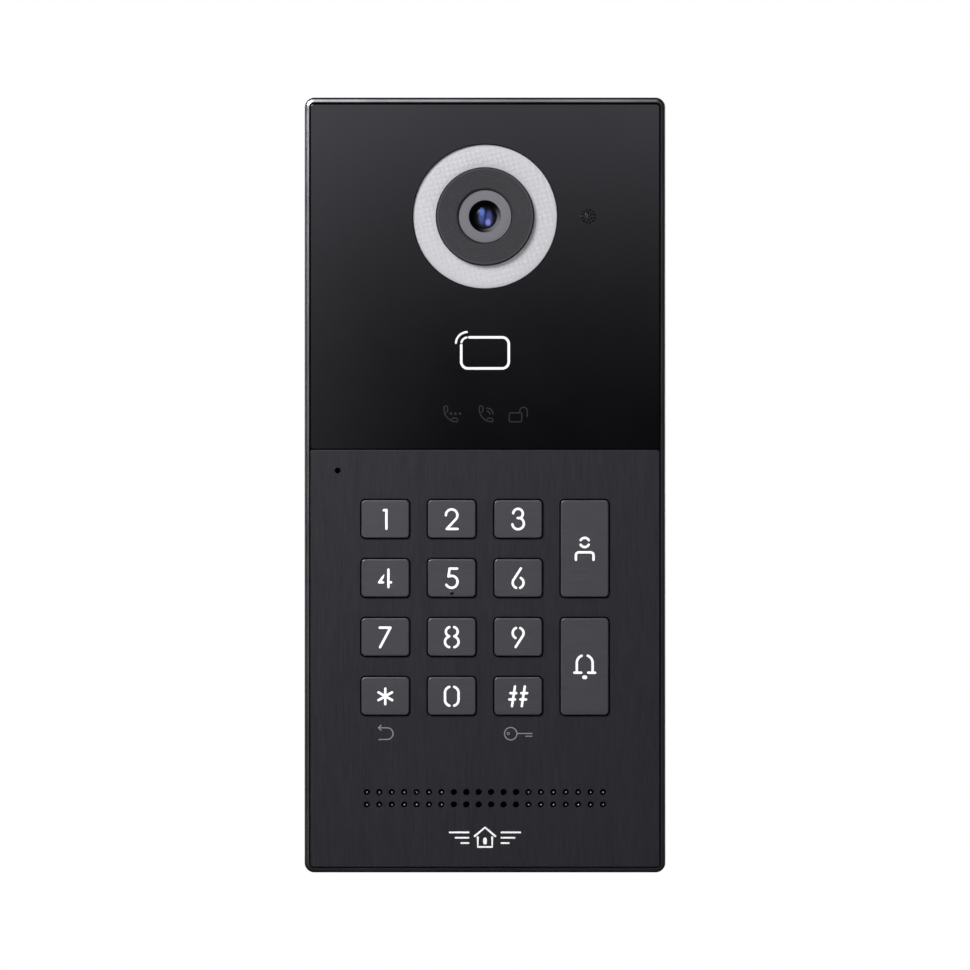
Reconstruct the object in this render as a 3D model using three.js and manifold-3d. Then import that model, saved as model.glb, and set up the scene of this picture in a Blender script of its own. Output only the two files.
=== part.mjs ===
// Surface-mounted door intercom panel with a card reader, camera and keypad, hung on a steel wall bracket.
// Millimetres. X runs to the visitor's right, Z up, and Y from the visitor into the wall.
// The origin is on the wall, at the middle of the bracket's back face, so every piece has y <= 0.
import * as THREE from "three";
import { mergeVertices } from "three/addons/utils/BufferGeometryUtils.js";
import Module from "manifold-3d";

const wasm = await Module();
wasm.setup();

// ---------------------------------------------------------------- driving dimensions
const WIDTH = 88;
const HEIGHT = 189;
const CORNER = 2.4;
const RIM_FRONT = -33.4;
const FACE = -33.2; // front of the glass and of the brushed plate
const FACE_THICKNESS = 1.9;
const FACE_BACK = FACE + FACE_THICKNESS;
const FRAME_BACK = -19;
const RIM_SIDE = 1.25;
const RIM_TOP = 1.45;
const RIM_BOTTOM = 1.2;
const SPLIT_Z = 8.64; // line between the glass above and the brushed plate below
const FIT = 0.15; // gap around each panel in its pocket
const SHELF_FRONT = -31;
const SHELF_BACK = -29.4;
const FRAME_CAVITY = { width: 80, height: 181 };
const SEAL_SEAT = -22.3;
const FRAME_WALL = 2;

const CAMERA_Z = 65.5;
const CAMERA_WINDOW_R = 17.7;
const HOOD_R = 11.8;
const LENS_RING_R = 6.45;
const LENS_HOLE_R = 4.02;
const EAR_REACH = 23;
const CAMERA_POST = 11.5;
const SENSOR_X = 25.25;
const CARD_Z = 32.2;
const STATUS_Z = 17.1;

const KEY = { width: 11.68, height: 9.24, corner: 1, gap: 0.36 };
const KEY_PITCH_X = 16.2;
const KEY_PITCH_Z = 14.38;
const KEY_ROW_1 = -8.29;
const KEY_FRONT = -33.9;
const CAP_THICKNESS = 1.2;
const LAYER_GAP = 0.05;
const FLANGE_OVERHANG = 0.6;
const FLANGE_THICKNESS = 0.8;
const STROKE_WIDTH = 0.66;
const STENCIL_CLEARANCE = 0.05;

const GRILLE = { columns: 20, open: 6, pitch: 3.03, holeR: 0.75, z: -76.4 };
const DIMPLE_DEPTH = 0.6;
const MICROPHONE = { x: -35.9, z: 3.5, holeR: 0.7, bootR: 3 };

const HOUSING = { width: 83.4, top: 92.2, insertBottom: -92.2, bottom: -90.5, corner: 1.2 };
const HOUSING_FRONT = -21;
const HOUSING_STEP = -17;
const HOUSING_BACK = -3;
const HOUSING_WALL = 2;
const BACK_WALL = 2.2;
const HOUSING_INSIDE = HOUSING_BACK - BACK_WALL;
const BOSS = { x: 37, z: 87.3, r: 3.4, coreR: 1.6 };
const MAIN_BOARD = { front: -20.6, back: -19, halfWidth: 37, bottom: -74, top: 42 };
const BAY = { width: 46, height: 20, z: -29 };
const BAY_WINDOW = { width: 50, height: 24 };
const JACK_X = -12;
const TERMINAL_X = 11;

const PLATE = { halfWidth: 37, bottom: -88, top: 86, thickness: 1.5 };
const HOOK = { x: 26, rows: [66, -56], width: 8, rise: 5.5, tongueFront: -7.2 };
const LIFT = 7.5; // how far the station rises to leave the hooks
const TAB = { halfWidth: 12, top: -90.6, front: -13, screwY: -8 };
const TAMPER = { z: 20, r: 2 };

const ROUND = 32; // segments of a large circle
const SMALL_ROUND = 12;
const TINY_ROUND = 8;
const HOLE_ROUND = 6;
const CORNER_STEPS = 1; // pairs of segments in a rounded corner

// ---------------------------------------------------------------- finishes
const finish = (color, roughness, metalness) =>
  new THREE.MeshStandardMaterial({ color, roughness, metalness });
const FRAME_METAL = finish(0x2b2a2e, 0.35, 0.9);
const BRUSHED_METAL = finish(0x2f2e33, 0.5, 0.8);
const BLACK_GLASS = finish(0x0b0b0c, 0.08, 0);
const DIFFUSER = finish(0xd2d1d6, 0.5, 0);
const HOOD_PLASTIC = finish(0x424146, 0.55, 0);
const RING_METAL = finish(0x77767c, 0.4, 0.6);
const LENS_GLASS = finish(0x1a2440, 0.03, 0);
const CLEAR_PLASTIC = finish(0xc8ccd0, 0.2, 0);
const CIRCUIT_BOARD = finish(0x1d4a34, 0.5, 0);
const RUBBER = finish(0x1a1a1b, 0.85, 0);
const HOUSING_PLASTIC = finish(0x232325, 0.6, 0);
const BRACKET_STEEL = finish(0xb4b6b9, 0.4, 0.9);
const SCREW_STEEL = finish(0x8d9094, 0.35, 0.95);
const KEY_METAL = finish(0x47464b, 0.45, 0.7);
const LEGEND = finish(0xf2f2f5, 0.4, 0);
const JACK_PLASTIC = finish(0x151516, 0.5, 0);
const TERMINAL_PLASTIC = finish(0x2c6e3f, 0.5, 0);
const SPEAKER_BLACK = finish(0x111112, 0.8, 0);

// ---------------------------------------------------------------- shapes
const vec = (x, z) => new THREE.Vector2(x, z);

function roundedRect(width, height, radius, x = 0, z = 0) {
  const right = x + width / 2 - radius;
  const left = x - width / 2 + radius;
  const top = z + height / 2 - radius;
  const bottom = z - height / 2 + radius;
  const shape = new THREE.Shape();
  shape.absarc(right, bottom, radius, -Math.PI / 2, 0);
  shape.absarc(right, top, radius, 0, Math.PI / 2);
  shape.absarc(left, top, radius, Math.PI / 2, Math.PI);
  shape.absarc(left, bottom, radius, Math.PI, Math.PI * 1.5);
  return shape;
}

// The same outline, given by its edges.
const roundedBox = (left, right, bottom, top, radius) =>
  roundedRect(right - left, top - bottom, radius, (left + right) / 2, (bottom + top) / 2);

// A closed three.js geometry as a manifold solid; triangles that collapse on a lathe's axis are dropped.
function solidOf(geometry) {
  geometry.deleteAttribute("normal");
  geometry.deleteAttribute("uv");
  const merged = mergeVertices(geometry, 1e-4);
  const corners = merged.index.array;
  const kept = [];
  for (let i = 0; i < corners.length; i += 3) {
    const [a, b, c] = [corners[i], corners[i + 1], corners[i + 2]];
    if (a !== b && b !== c && a !== c) kept.push(a, b, c);
  }
  const vertProperties = merged.attributes.position.array;
  const triVerts = new Uint32Array(kept);
  return new wasm.Manifold(new wasm.Mesh({ numProp: 3, vertProperties, triVerts }));
}

// An outline in the XZ plane, as thick as front to back.
function slab(shape, front, back, curveSegments = CORNER_STEPS) {
  const options = { depth: back - front, bevelEnabled: false, curveSegments };
  const geometry = new THREE.ExtrudeGeometry(shape, options);
  return solidOf(geometry.rotateX(Math.PI / 2).translate(0, back, 0));
}

function rod(radius, front, back, x = 0, z = 0, segments = SMALL_ROUND) {
  const geometry = new THREE.CylinderGeometry(radius, radius, back - front, segments);
  return solidOf(geometry.translate(x, (front + back) / 2, z));
}

function block(left, right, front, back, bottom, top) {
  const geometry = new THREE.BoxGeometry(right - left, back - front, top - bottom);
  return solidOf(geometry.translate((left + right) / 2, (front + back) / 2, (bottom + top) / 2));
}

// A solid of revolution about Y, from a closed profile of [radius, y] points listed anticlockwise.
function revolve(profile, segments = ROUND) {
  const points = profile.map(([r, y]) => new THREE.Vector2(r, y));
  points.push(points[0].clone());
  return solidOf(new THREE.LatheGeometry(points, segments));
}

const ring = (inner, outer, front, back, segments = ROUND) =>
  revolve([[inner, front], [outer, front], [outer, back], [inner, back]], segments);

const join = (solids) => solids.reduce((whole, next) => whole.add(next));
const cut = (solid, tools) => solid.subtract(join(tools));
const CORNERS = [[1, 1], [-1, 1], [-1, -1], [1, -1]];

const panel = new THREE.Group();

function group(parent, x = 0, z = 0) {
  const made = new THREE.Group();
  made.position.set(x, 0, z);
  parent.add(made);
  return made;
}

function addPiece(parent, name, solid, material) {
  const mesh = solid.getMesh();
  const geometry = new THREE.BufferGeometry();
  geometry.setAttribute("position", new THREE.BufferAttribute(mesh.vertProperties, 3));
  geometry.setIndex(new THREE.BufferAttribute(mesh.triVerts, 1));
  geometry.computeVertexNormals();
  const piece = new THREE.Mesh(geometry, material);
  piece.name = name;
  parent.add(piece);
}

// ---------------------------------------------------------------- key legends, as stencil strokes
const ARC_STEP = 36; // degrees
const CAP_STEPS = 3; // segments of a stroke's round end

function bend(cx, cz, radius, from, to) {
  const steps = Math.ceil(Math.abs(to - from) / ARC_STEP);
  return Array.from({ length: steps + 1 }, (_, i) => {
    const angle = THREE.MathUtils.degToRad(from + ((to - from) * i) / steps);
    return vec(cx + radius * Math.cos(angle), cz + radius * Math.sin(angle));
  });
}

const sweep = (...runs) => ({ points: runs.flat(), width: STROKE_WIDTH });
const bar = (x1, z1, x2, z2, width = STROKE_WIDTH) => ({ points: [vec(x1, z1), vec(x2, z2)], width });
const mirrored = (strokes) =>
  strokes.flatMap((s) => [s, { points: s.points.map((p) => vec(-p.x, p.y)), width: s.width }]);

const LEGENDS = {
  1: [bar(-0.37, 2.14, 0.27, 2.2), bar(0.27, 2.2, 0.27, -2.36)],
  2: [sweep(bend(-0.03, 0.93, 1.41, 180, -42), [vec(-1.23, -2.41)]), bar(-1.23, -2.41, 1.41, -2.41)],
  3: [
    sweep(bend(-0.05, 1.31, 1.17, 175, -42)),
    bar(-0.13, 0.24, 0.4, 0.24),
    sweep(bend(-0.03, -1.1, 1.4, 72, -172)),
  ],
  4: [
    bar(0.76, 2.06, 0.76, -2.2),
    bar(0.76, -1.05, 1.4, -1.05),
    bar(-1.48, -1.05, -0.55, -1.05),
    bar(-1.48, -1.05, -0.6, 0.22),
    bar(-0.6, 0.22, -0.36, 0.74, 0.26),
  ],
  5: [
    bar(-0.53, 2.3, 1.3, 2.3),
    bar(-0.53, 2.3, -0.8, 0.41),
    sweep(bend(-0.05, -0.92, 1.46, 118, -150)),
  ],
  6: [
    sweep([vec(0.65, 2.33)], bend(-0.03, -1.15, 1.33, 147, 248)),
    sweep(bend(-0.03, -1.15, 1.33, 61, -68)),
  ],
  7: [bar(-1.34, 2.28, 1.25, 2.28), bar(1.25, 2.28, -1.25, -2.47)],
  8: mirrored([
    sweep(bend(0.3, 1.29, 1.14, 75, -62)),
    sweep(bend(0.35, -1.18, 1.31, 72, -78)),
    bar(0.62, 0.18, 0.84, 0.18),
  ]),
  9: [
    sweep(bend(-0.03, 0.96, 1.33, 112, 242)),
    sweep(bend(-0.03, 0.96, 1.33, 67, -33), [vec(-0.64, -2.44)]),
  ],
  star: [bar(0, 1.82, 0, -1.98), bar(-1.66, 0.9, 1.66, -1), bar(-1.66, -1, 1.66, 0.9)],
  0: mirrored([sweep(bend(0.17, 0.8, 1.48, 74, 0), bend(0.17, -0.93, 1.48, 0, -74))]),
  hash: [
    bar(-0.8, 2.32, -1.52, -2.45),
    bar(1.6, 2.32, 0.86, -2.45),
    bar(-1.92, 0.7, -0.5, 0.7),
    bar(0.76, 0.7, 2.16, 0.7),
    bar(-2.16, -0.83, -0.77, -0.83),
    bar(0.52, -0.83, 1.9, -0.83),
  ],
  person: [
    sweep(bend(0, 1.48, 1.12, 150, 30)),
    sweep(bend(0, 1.48, 1.12, -30, -150)),
    sweep([vec(-2.15, -2.75)], bend(-1.4, -1.67, 0.75, 180, 90), bend(1.4, -1.67, 0.75, 90, 0), [vec(2.15, -2.75)]),
  ],
  bell: [
    ...mirrored([sweep(bend(0.04, 0.88, 1.89, 68, 0), [vec(1.93, -1.45)]), bar(0.85, -1.5, 2.54, -1.5)]),
    bar(-0.17, -2.63, 0.17, -2.63, 0.9),
  ],
};

// The closed outline of one stroke: its two sides and two round ends, grown by clearance.
function strokeOutline({ points, width }, clearance) {
  const half = width / 2 + clearance;
  const last = points.length - 1;
  const headings = points.map((_, i) => {
    const before = points[Math.max(i - 1, 0)];
    const after = points[Math.min(i + 1, last)];
    return after.clone().sub(before).normalize();
  });
  const side = (i, sign) => vec(-headings[i].y, headings[i].x).multiplyScalar(half * sign).add(points[i]);
  const roundEnd = (i, heading) =>
    Array.from({ length: CAP_STEPS - 1 }, (_, k) => {
      const turn = Math.PI / 2 - (Math.PI * (k + 1)) / CAP_STEPS;
      return heading.clone().rotateAround(vec(0, 0), turn).multiplyScalar(half).add(points[i]);
    });
  const outward = points.map((_, i) => side(i, 1));
  const homeward = points.map((_, i) => side(last - i, -1));
  const start = headings[0].clone().negate();
  return [...outward, ...roundEnd(last, headings[last]), ...homeward, ...roundEnd(0, start)];
}

const legendSolid = (name, front, back, clearance = 0) =>
  join(LEGENDS[name].map((s) => slab(new THREE.Shape(strokeOutline(s, clearance)), front, back)));

// ---------------------------------------------------------------- keys
// Where each key sits, which legend it carries, and how many rows it spans.
const DIGIT_ROWS = [[1, 2, 3], [4, 5, 6], [7, 8, 9], ["star", 0, "hash"]];
const digitKeys = DIGIT_ROWS.flatMap((row, r) =>
  row.map((legend, c) => ({ legend, rows: 1, x: (c - 1.5) * KEY_PITCH_X, z: KEY_ROW_1 - r * KEY_PITCH_Z })),
);
const callKeys = ["person", "bell"].map((legend, i) => ({
  legend,
  rows: 2,
  x: 1.5 * KEY_PITCH_X,
  z: KEY_ROW_1 - (2 * i + 0.5) * KEY_PITCH_Z,
}));
const KEYS = [...digitKeys, ...callKeys];
const keyHeight = (key) => KEY.height + (key.rows - 1) * KEY_PITCH_Z;
const PIP = { z: -3.68, r: 0.4, height: 0.1 };

function keyCap(key) {
  const outline = roundedRect(KEY.width, keyHeight(key), KEY.corner);
  const back = KEY_FRONT + CAP_THICKNESS;
  const stencil = legendSolid(key.legend, KEY_FRONT - 1, back + 1, STENCIL_CLEARANCE);
  const cap = slab(outline, KEY_FRONT, back).subtract(stencil);
  if (key.legend !== 5) return cap;
  return cap.add(rod(PIP.r, KEY_FRONT - PIP.height, KEY_FRONT + PIP.height, 0, PIP.z, TINY_ROUND));
}

// The translucent carrier fills the cap's stencil, and its flange stops behind the brushed plate.
function keyCarrier(key) {
  const height = keyHeight(key);
  const bodyFront = KEY_FRONT + CAP_THICKNESS + LAYER_GAP;
  const flangeFront = FACE_BACK + LAYER_GAP;
  const flangeBack = flangeFront + FLANGE_THICKNESS;
  const overhang = 2 * (KEY.gap + FLANGE_OVERHANG);
  const flange = roundedRect(KEY.width + overhang, height + overhang, KEY.corner + FLANGE_OVERHANG);
  return join([
    legendSolid(key.legend, KEY_FRONT, bodyFront + 0.1),
    slab(roundedRect(KEY.width, height, KEY.corner), bodyFront, flangeFront + 0.1),
    slab(flange, flangeFront, flangeBack),
  ]);
}

// ---------------------------------------------------------------- front: frame, plate and glass
const pocketTop = HEIGHT / 2 - RIM_TOP;
const pocketBottom = -HEIGHT / 2 + RIM_BOTTOM;
const pocketHalf = WIDTH / 2 - RIM_SIDE;
const POCKET_CORNER = 0.9;
const SHELF_WIDTH = 4.7;
const windowHalf = pocketHalf - SHELF_WIDTH;
const CROSSBAR = { bottom: 4.6, top: 12.6 };
const CAMERA_WEB_BOTTOM = 44;

function frontFrame() {
  const outer = slab(roundedRect(WIDTH, HEIGHT, CORNER), RIM_FRONT, FRAME_BACK, 3);
  const sealWidth = WIDTH - 2 * FRAME_WALL;
  const sealHeight = HEIGHT - 2 * FRAME_WALL;
  const pocket = roundedBox(-pocketHalf, pocketHalf, pocketBottom, pocketTop, POCKET_CORNER);
  const bottomWindow = pocketBottom + SHELF_WIDTH;
  const shell = cut(outer, [
    slab(pocket, RIM_FRONT - 1, SHELF_FRONT),
    slab(roundedRect(FRAME_CAVITY.width, FRAME_CAVITY.height, 2), SHELF_BACK, SEAL_SEAT + 0.5),
    slab(roundedRect(sealWidth, sealHeight, 1), SEAL_SEAT, FRAME_BACK + 1),
    slab(roundedBox(-windowHalf, windowHalf, bottomWindow, CROSSBAR.bottom, 3), SHELF_FRONT - 1, SHELF_BACK + 1),
    slab(roundedBox(-windowHalf, windowHalf, CROSSBAR.top, CAMERA_WEB_BOTTOM, 3), SHELF_FRONT - 1, SHELF_BACK + 1),
    rod(CAMERA_WINDOW_R + 2.1, SHELF_FRONT - 1, SHELF_BACK + 1, 0, CAMERA_Z, ROUND),
    rod(2.8, SHELF_FRONT - 1, SHELF_BACK + 1, SENSOR_X, CAMERA_Z),
    rod(MICROPHONE.bootR + 0.3, SHELF_FRONT - 1, SHELF_BACK + 1, MICROPHONE.x, MICROPHONE.z),
  ]);
  const bosses = CORNERS.map(([sx, sz]) =>
    rod(BOSS.r, SHELF_BACK - 0.5, HOUSING_FRONT - 0.2, sx * BOSS.x, sz * BOSS.z),
  );
  const cores = CORNERS.map(([sx, sz]) =>
    rod(BOSS.coreR, SHELF_BACK + 1.2, HOUSING_FRONT + 1, sx * BOSS.x, sz * BOSS.z, TINY_ROUND),
  );
  const diagonal = EAR_REACH * Math.SQRT1_2;
  const earPosts = [1, -1].map((s) =>
    rod(3, SHELF_BACK - 0.5, HOOD_FLANGE_FRONT - LAYER_GAP, s * diagonal, CAMERA_Z + s * diagonal),
  );
  return cut(join([shell, ...bosses, ...earPosts]), cores);
}

function brushedPlate() {
  const outline = roundedBox(-pocketHalf + FIT, pocketHalf - FIT, pocketBottom + FIT, SPLIT_Z - FIT / 2, 0.8);
  const keyHoles = KEYS.map((key) => {
    const grow = 2 * KEY.gap;
    const hole = roundedRect(KEY.width + grow, keyHeight(key) + grow, KEY.corner + KEY.gap, key.x, key.z);
    return slab(hole, FACE - 1, FACE_BACK + 1);
  });
  const firstOpen = (GRILLE.columns - GRILLE.open) / 2;
  const soundHoles = [];
  for (let column = 0; column < GRILLE.columns; column++) {
    for (const row of [-0.5, 0.5]) {
      const x = (column - (GRILLE.columns - 1) / 2) * GRILLE.pitch;
      const z = GRILLE.z + row * GRILLE.pitch;
      const open = column >= firstOpen && column < firstOpen + GRILLE.open;
      soundHoles.push(open ? rod(GRILLE.holeR, FACE - 1, FACE_BACK + 1, x, z, HOLE_ROUND) : dimple(x, z));
    }
  }
  const microphoneHole = rod(MICROPHONE.holeR, FACE - 1, FACE_BACK + 1, MICROPHONE.x, MICROPHONE.z, TINY_ROUND);
  return cut(slab(outline, FACE, FACE_BACK), [...keyHoles, ...soundHoles, microphoneHole]);
}

// A blind drill point that only looks like a sound hole.
function dimple(x, z) {
  const geometry = new THREE.CylinderGeometry(0, GRILLE.holeR, DIMPLE_DEPTH, HOLE_ROUND);
  return solidOf(geometry.translate(x, FACE + DIMPLE_DEPTH / 2, z));
}

function glassWindow() {
  const outline = roundedBox(-pocketHalf + FIT, pocketHalf - FIT, SPLIT_Z + FIT / 2, pocketTop - FIT, 0.8);
  return slab(outline, FACE, FACE_BACK).subtract(rod(CAMERA_WINDOW_R, FACE - 1, FACE_BACK + 1, 0, CAMERA_Z, ROUND));
}

// ---------------------------------------------------------------- camera, about its own axis
const HOOD_FRONT = -34;
const HOOD_DISH = 0.8; // how far the hood's face falls from its edge to the lens ring
const HOOD_FLANGE_FRONT = -25.5;
const HOOD_FLANGE_BACK = -24;
const LENS_MOUTH = -31.5;
const CAMERA_BOARD = { front: -16.6, back: -15.4, width: 30 };

function diffuser() {
  const front = FACE + 0.6;
  const flangeFront = FACE_BACK + 0.1;
  const flangeBack = flangeFront + 1.3;
  const inner = HOOD_R + FIT;
  const outer = CAMERA_WINDOW_R - 0.1;
  return revolve([
    [inner, front], [outer, front], [outer, flangeFront],
    [outer + 1.9, flangeFront], [outer + 1.9, flangeBack], [inner, flangeBack],
  ]);
}

function lensHood() {
  const bore = LENS_RING_R + 0.15;
  const tube = 10.5;
  const flangeR = 18;
  const body = revolve([
    [bore, HOOD_FRONT + HOOD_DISH], [HOOD_R, HOOD_FRONT], [HOOD_R, FACE_BACK + 0.4], [tube, FACE_BACK + 1.6],
    [tube, HOOD_FLANGE_FRONT], [flangeR, HOOD_FLANGE_FRONT], [flangeR, HOOD_FLANGE_BACK], [bore, HOOD_FLANGE_BACK],
  ]);
  const ears = slab(roundedRect(2 * EAR_REACH + 7, 7, 3.4), HOOD_FLANGE_FRONT, HOOD_FLANGE_BACK).rotate([0, -45, 0]);
  const posts = CORNERS.map(([sx, sz]) =>
    rod(2, HOOD_FLANGE_BACK - 0.5, CAMERA_BOARD.front - LAYER_GAP, sx * CAMERA_POST, sz * CAMERA_POST, TINY_ROUND),
  );
  const clear = rod(bore, HOOD_FLANGE_FRONT - 1, HOOD_FLANGE_BACK + 1, 0, 0, ROUND);
  return join([body, ears.subtract(clear), ...posts]);
}

const lensRing = () => ring(LENS_HOLE_R, LENS_RING_R, HOOD_FRONT + HOOD_DISH + 0.05, LENS_MOUTH - LAYER_GAP);

// Screwed M12-size barrel with its square holder; the front funnel leads to the first lens.
function lensBarrel() {
  const barrel = revolve([
    [3, -30.3], [LENS_HOLE_R, LENS_MOUTH], [6, LENS_MOUTH], [6, -17], [2, -17], [2, -27], [3, -27],
  ]);
  const holder = block(-7.5, 7.5, -19, -16.7, -7.5, 7.5).subtract(rod(5, -20, -16));
  return barrel.add(holder);
}

const frontLens = () =>
  revolve([[0, -30.95], [1.2, -30.85], [2.1, -30.6], [2.9, -30.2], [2.9, -27.2], [0, -27.2]], 16);

function cameraBoard() {
  const half = CAMERA_BOARD.width / 2;
  return block(-half, half, CAMERA_BOARD.front, CAMERA_BOARD.back, -half, half);
}

// ---------------------------------------------------------------- boards and parts behind the face
const board = (left, right, front, back, bottom, top, radius = 1.5) =>
  slab(roundedBox(left, right, bottom, top, radius), front, back);

const KEYPAD_BOARD = { front: -28, back: -26.8, halfWidth: 35, bottom: -60.5, top: 0.5 };
const MEMBRANE_FRONT = -28.7;
const DOME = { r: 2.4, topR: 1.6, front: -29.6 }; // clears a key's flange at full travel

function keypadBoard() {
  const { front, back, halfWidth, bottom, top } = KEYPAD_BOARD;
  return board(-halfWidth, halfWidth, front, back, bottom, top);
}

// One rubber sheet with a dome under each digit key and two under each call key.
function keypadMembrane() {
  const { front, halfWidth, bottom, top } = KEYPAD_BOARD;
  const sheet = board(-halfWidth + 0.5, halfWidth - 0.5, MEMBRANE_FRONT, front - LAYER_GAP, bottom + 0.5, top - 0.5);
  const domes = KEYS.flatMap((key) =>
    (key.rows === 1 ? [0] : [-0.5, 0.5]).map((row) => {
      const height = MEMBRANE_FRONT - DOME.front + 0.2;
      const cone = new THREE.CylinderGeometry(DOME.r, DOME.topR, height, HOLE_ROUND);
      return solidOf(cone.translate(key.x, DOME.front + height / 2, key.z + row * KEY_PITCH_Z));
    }),
  );
  return join([sheet, ...domes]);
}

function mainBoard() {
  const { front, back, halfWidth, bottom, top } = MAIN_BOARD;
  return board(-halfWidth, halfWidth, front, back, bottom, top, 2);
}

function statusLightGuide() {
  const guide = board(-12.5, 12.5, FACE_BACK + 0.1, -26, STATUS_Z - 3.2, STATUS_Z + 3.2, 1);
  const cells = [-1, 0, 1].map((i) => block(i * 8.1 - 3, i * 8.1 + 3, -29.5, -25, STATUS_Z - 2.2, STATUS_Z + 2.2));
  return cut(guide, cells);
}

function cardAntenna() {
  const loop = board(-30, 30, FACE_BACK + 0.5, FACE_BACK + 1.3, CARD_Z - 10.5, CARD_Z + 10.5, 3);
  return loop.subtract(board(-20, 20, FACE_BACK, FACE_BACK + 2, CARD_Z - 5, CARD_Z + 5, 2));
}

function microphoneBoot() {
  const boot = rod(MICROPHONE.bootR, FACE_BACK + 0.1, -27.2, 0, 0, 16);
  return cut(boot, [rod(MICROPHONE.holeR, FACE_BACK - 1, -29, 0, 0, TINY_ROUND), rod(2.1, -30.2, -26)]);
}

const SPEAKER = { width: 40, height: 20, corner: 4, front: -30.9, back: -24, magnetBack: -21.4 };

function speakerFrame() {
  const { width, height, corner, front, back, magnetBack } = SPEAKER;
  const basket = slab(roundedRect(width, height, corner), front, back);
  const bowl = slab(roundedRect(width - 4, height - 4, corner - 1), front - 1, front + 2.4);
  return basket.subtract(bowl).add(rod(8, back - 0.5, magnetBack, 0, 0, 16));
}

function speakerCone() {
  const cone = slab(roundedRect(35.4, 15.4, 2.7), -29.6, -28.7);
  const dome = revolve([[0, -30.5], [2.2, -30.3], [4.4, -29.8], [5, -29.2], [0, -29.2]], 16);
  return cone.add(dome);
}

// An eight-way socket that faces the wall; the plug's clip runs in the narrow slot.
function networkJack() {
  const body = block(-8, 8, MAIN_BOARD.back + LAYER_GAP, -3.9, -6.7, 6.7);
  return cut(body, [block(-5.95, 5.95, -16.4, -3, -3.9, 3.9), block(-3, 3, -16.4, -3, -5.6, -3.8)]);
}

function terminalBlock() {
  const poles = [-1.5, -0.5, 0.5, 1.5].map((i) => i * 4.6);
  const body = block(-10, 10, MAIN_BOARD.back + LAYER_GAP, -5, -5.5, 5.5);
  const entries = poles.map((x) => block(x - 1.3, x + 1.3, -12, -4, -4.4, -1.6));
  const screwWells = poles.map((x) => rod(1.6, -9, -4, x, 2, TINY_ROUND));
  return cut(body, [...entries, ...screwWells]);
}

// ---------------------------------------------------------------- rear housing
const sealRing = () => {
  const outer = slab(roundedRect(83.6, 184.6, 0.9), SEAL_SEAT + 0.1, HOUSING_FRONT - 0.1);
  return outer.subtract(slab(roundedRect(81.2, 182.2, 0.9), SEAL_SEAT - 1, HOUSING_FRONT + 1));
};

function rearHousing() {
  const half = HOUSING.width / 2;
  const inner = half - HOUSING_WALL;
  const { top, insertBottom, bottom, corner } = HOUSING;
  const stepWall = HOUSING_STEP - 1.5;
  const outer = join([
    slab(roundedBox(-half, half, insertBottom, top, corner), HOUSING_FRONT, HOUSING_STEP),
    slab(roundedBox(-half, half, bottom, top, corner), HOUSING_STEP - 1, HOUSING_BACK),
  ]);
  const cavities = [
    slab(roundedBox(-inner, inner, insertBottom + HOUSING_WALL, top - HOUSING_WALL, 1), HOUSING_FRONT - 1, stepWall),
    slab(roundedBox(-inner, inner, bottom + HOUSING_WALL, top - HOUSING_WALL, 1), stepWall - 1, HOUSING_INSIDE),
  ];
  const throughFront = HOUSING_INSIDE - 1;
  const openings = [
    slab(roundedRect(BAY.width, BAY.height, 1.5, 0, BAY.z), throughFront, HOUSING_BACK + 1),
    rod(TAMPER.r + 0.15, throughFront, HOUSING_BACK + 1, 0, TAMPER.z),
    ...HOOK.rows.flatMap((z) => [-1, 1].map((s) => hookSlot(s * HOOK.x, z, throughFront))),
  ];
  const bosses = CORNERS.map(([sx, sz]) => rod(4.2, HOUSING_FRONT, HOUSING_BACK - 1, sx * BOSS.x, sz * BOSS.z));
  const standoffs = [[-33, -70], [33, -70], [-33, 38], [33, 38]].map(([x, z]) =>
    rod(2.5, MAIN_BOARD.back + LAYER_GAP, HOUSING_INSIDE + 0.5, x, z),
  );
  const lockBoss = block(-4.5, 4.5, -12, HOUSING_INSIDE + 0.5, bottom + 1, bottom + 7);
  const insertEnvelope = slab(roundedBox(-half, half, insertBottom, top, corner), HOUSING_FRONT, HOUSING_BACK);
  const bossEnvelope = slab(roundedBox(-half, half, bottom, top, corner), HOUSING_FRONT, HOUSING_BACK);
  const shell = cut(outer, cavities);
  const whole = join([shell, join(bosses).intersect(bossEnvelope), ...standoffs, lockBoss]).intersect(insertEnvelope);
  const screwHoles = CORNERS.flatMap(([sx, sz]) => [
    rod(BOSS.coreR + 0.1, HOUSING_FRONT - 1, HOUSING_BACK, sx * BOSS.x, sz * BOSS.z, TINY_ROUND),
    rod(SCREW.headR + 0.35, SCREW.seat, HOUSING_BACK + 1, sx * BOSS.x, sz * BOSS.z),
  ]);
  const lockHole = rodZ(1.6, bottom - 1, bottom + 8, 0, TAB.screwY);
  return cut(whole, [...openings, ...screwHoles, lockHole]);
}

function hookSlot(x, z, front) {
  const half = HOOK.width / 2 + 0.4;
  return block(x - half, x + half, front, HOUSING_BACK + 1, z - PLATE.thickness - LIFT - 0.3, z + LAYER_GAP);
}

function rodZ(radius, bottom, top, x, y, segments = TINY_ROUND) {
  const geometry = new THREE.CylinderGeometry(radius, radius, top - bottom, segments);
  return solidOf(geometry.rotateX(Math.PI / 2).translate(x, y, (bottom + top) / 2));
}

// Pan-head screw from the back, with a cross recess, that pulls the housing onto the frame's boss.
const SCREW = { headR: 2.75, shankR: 1.45, seat: -9.6, head: 2.4, tip: -27.5 };

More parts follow.
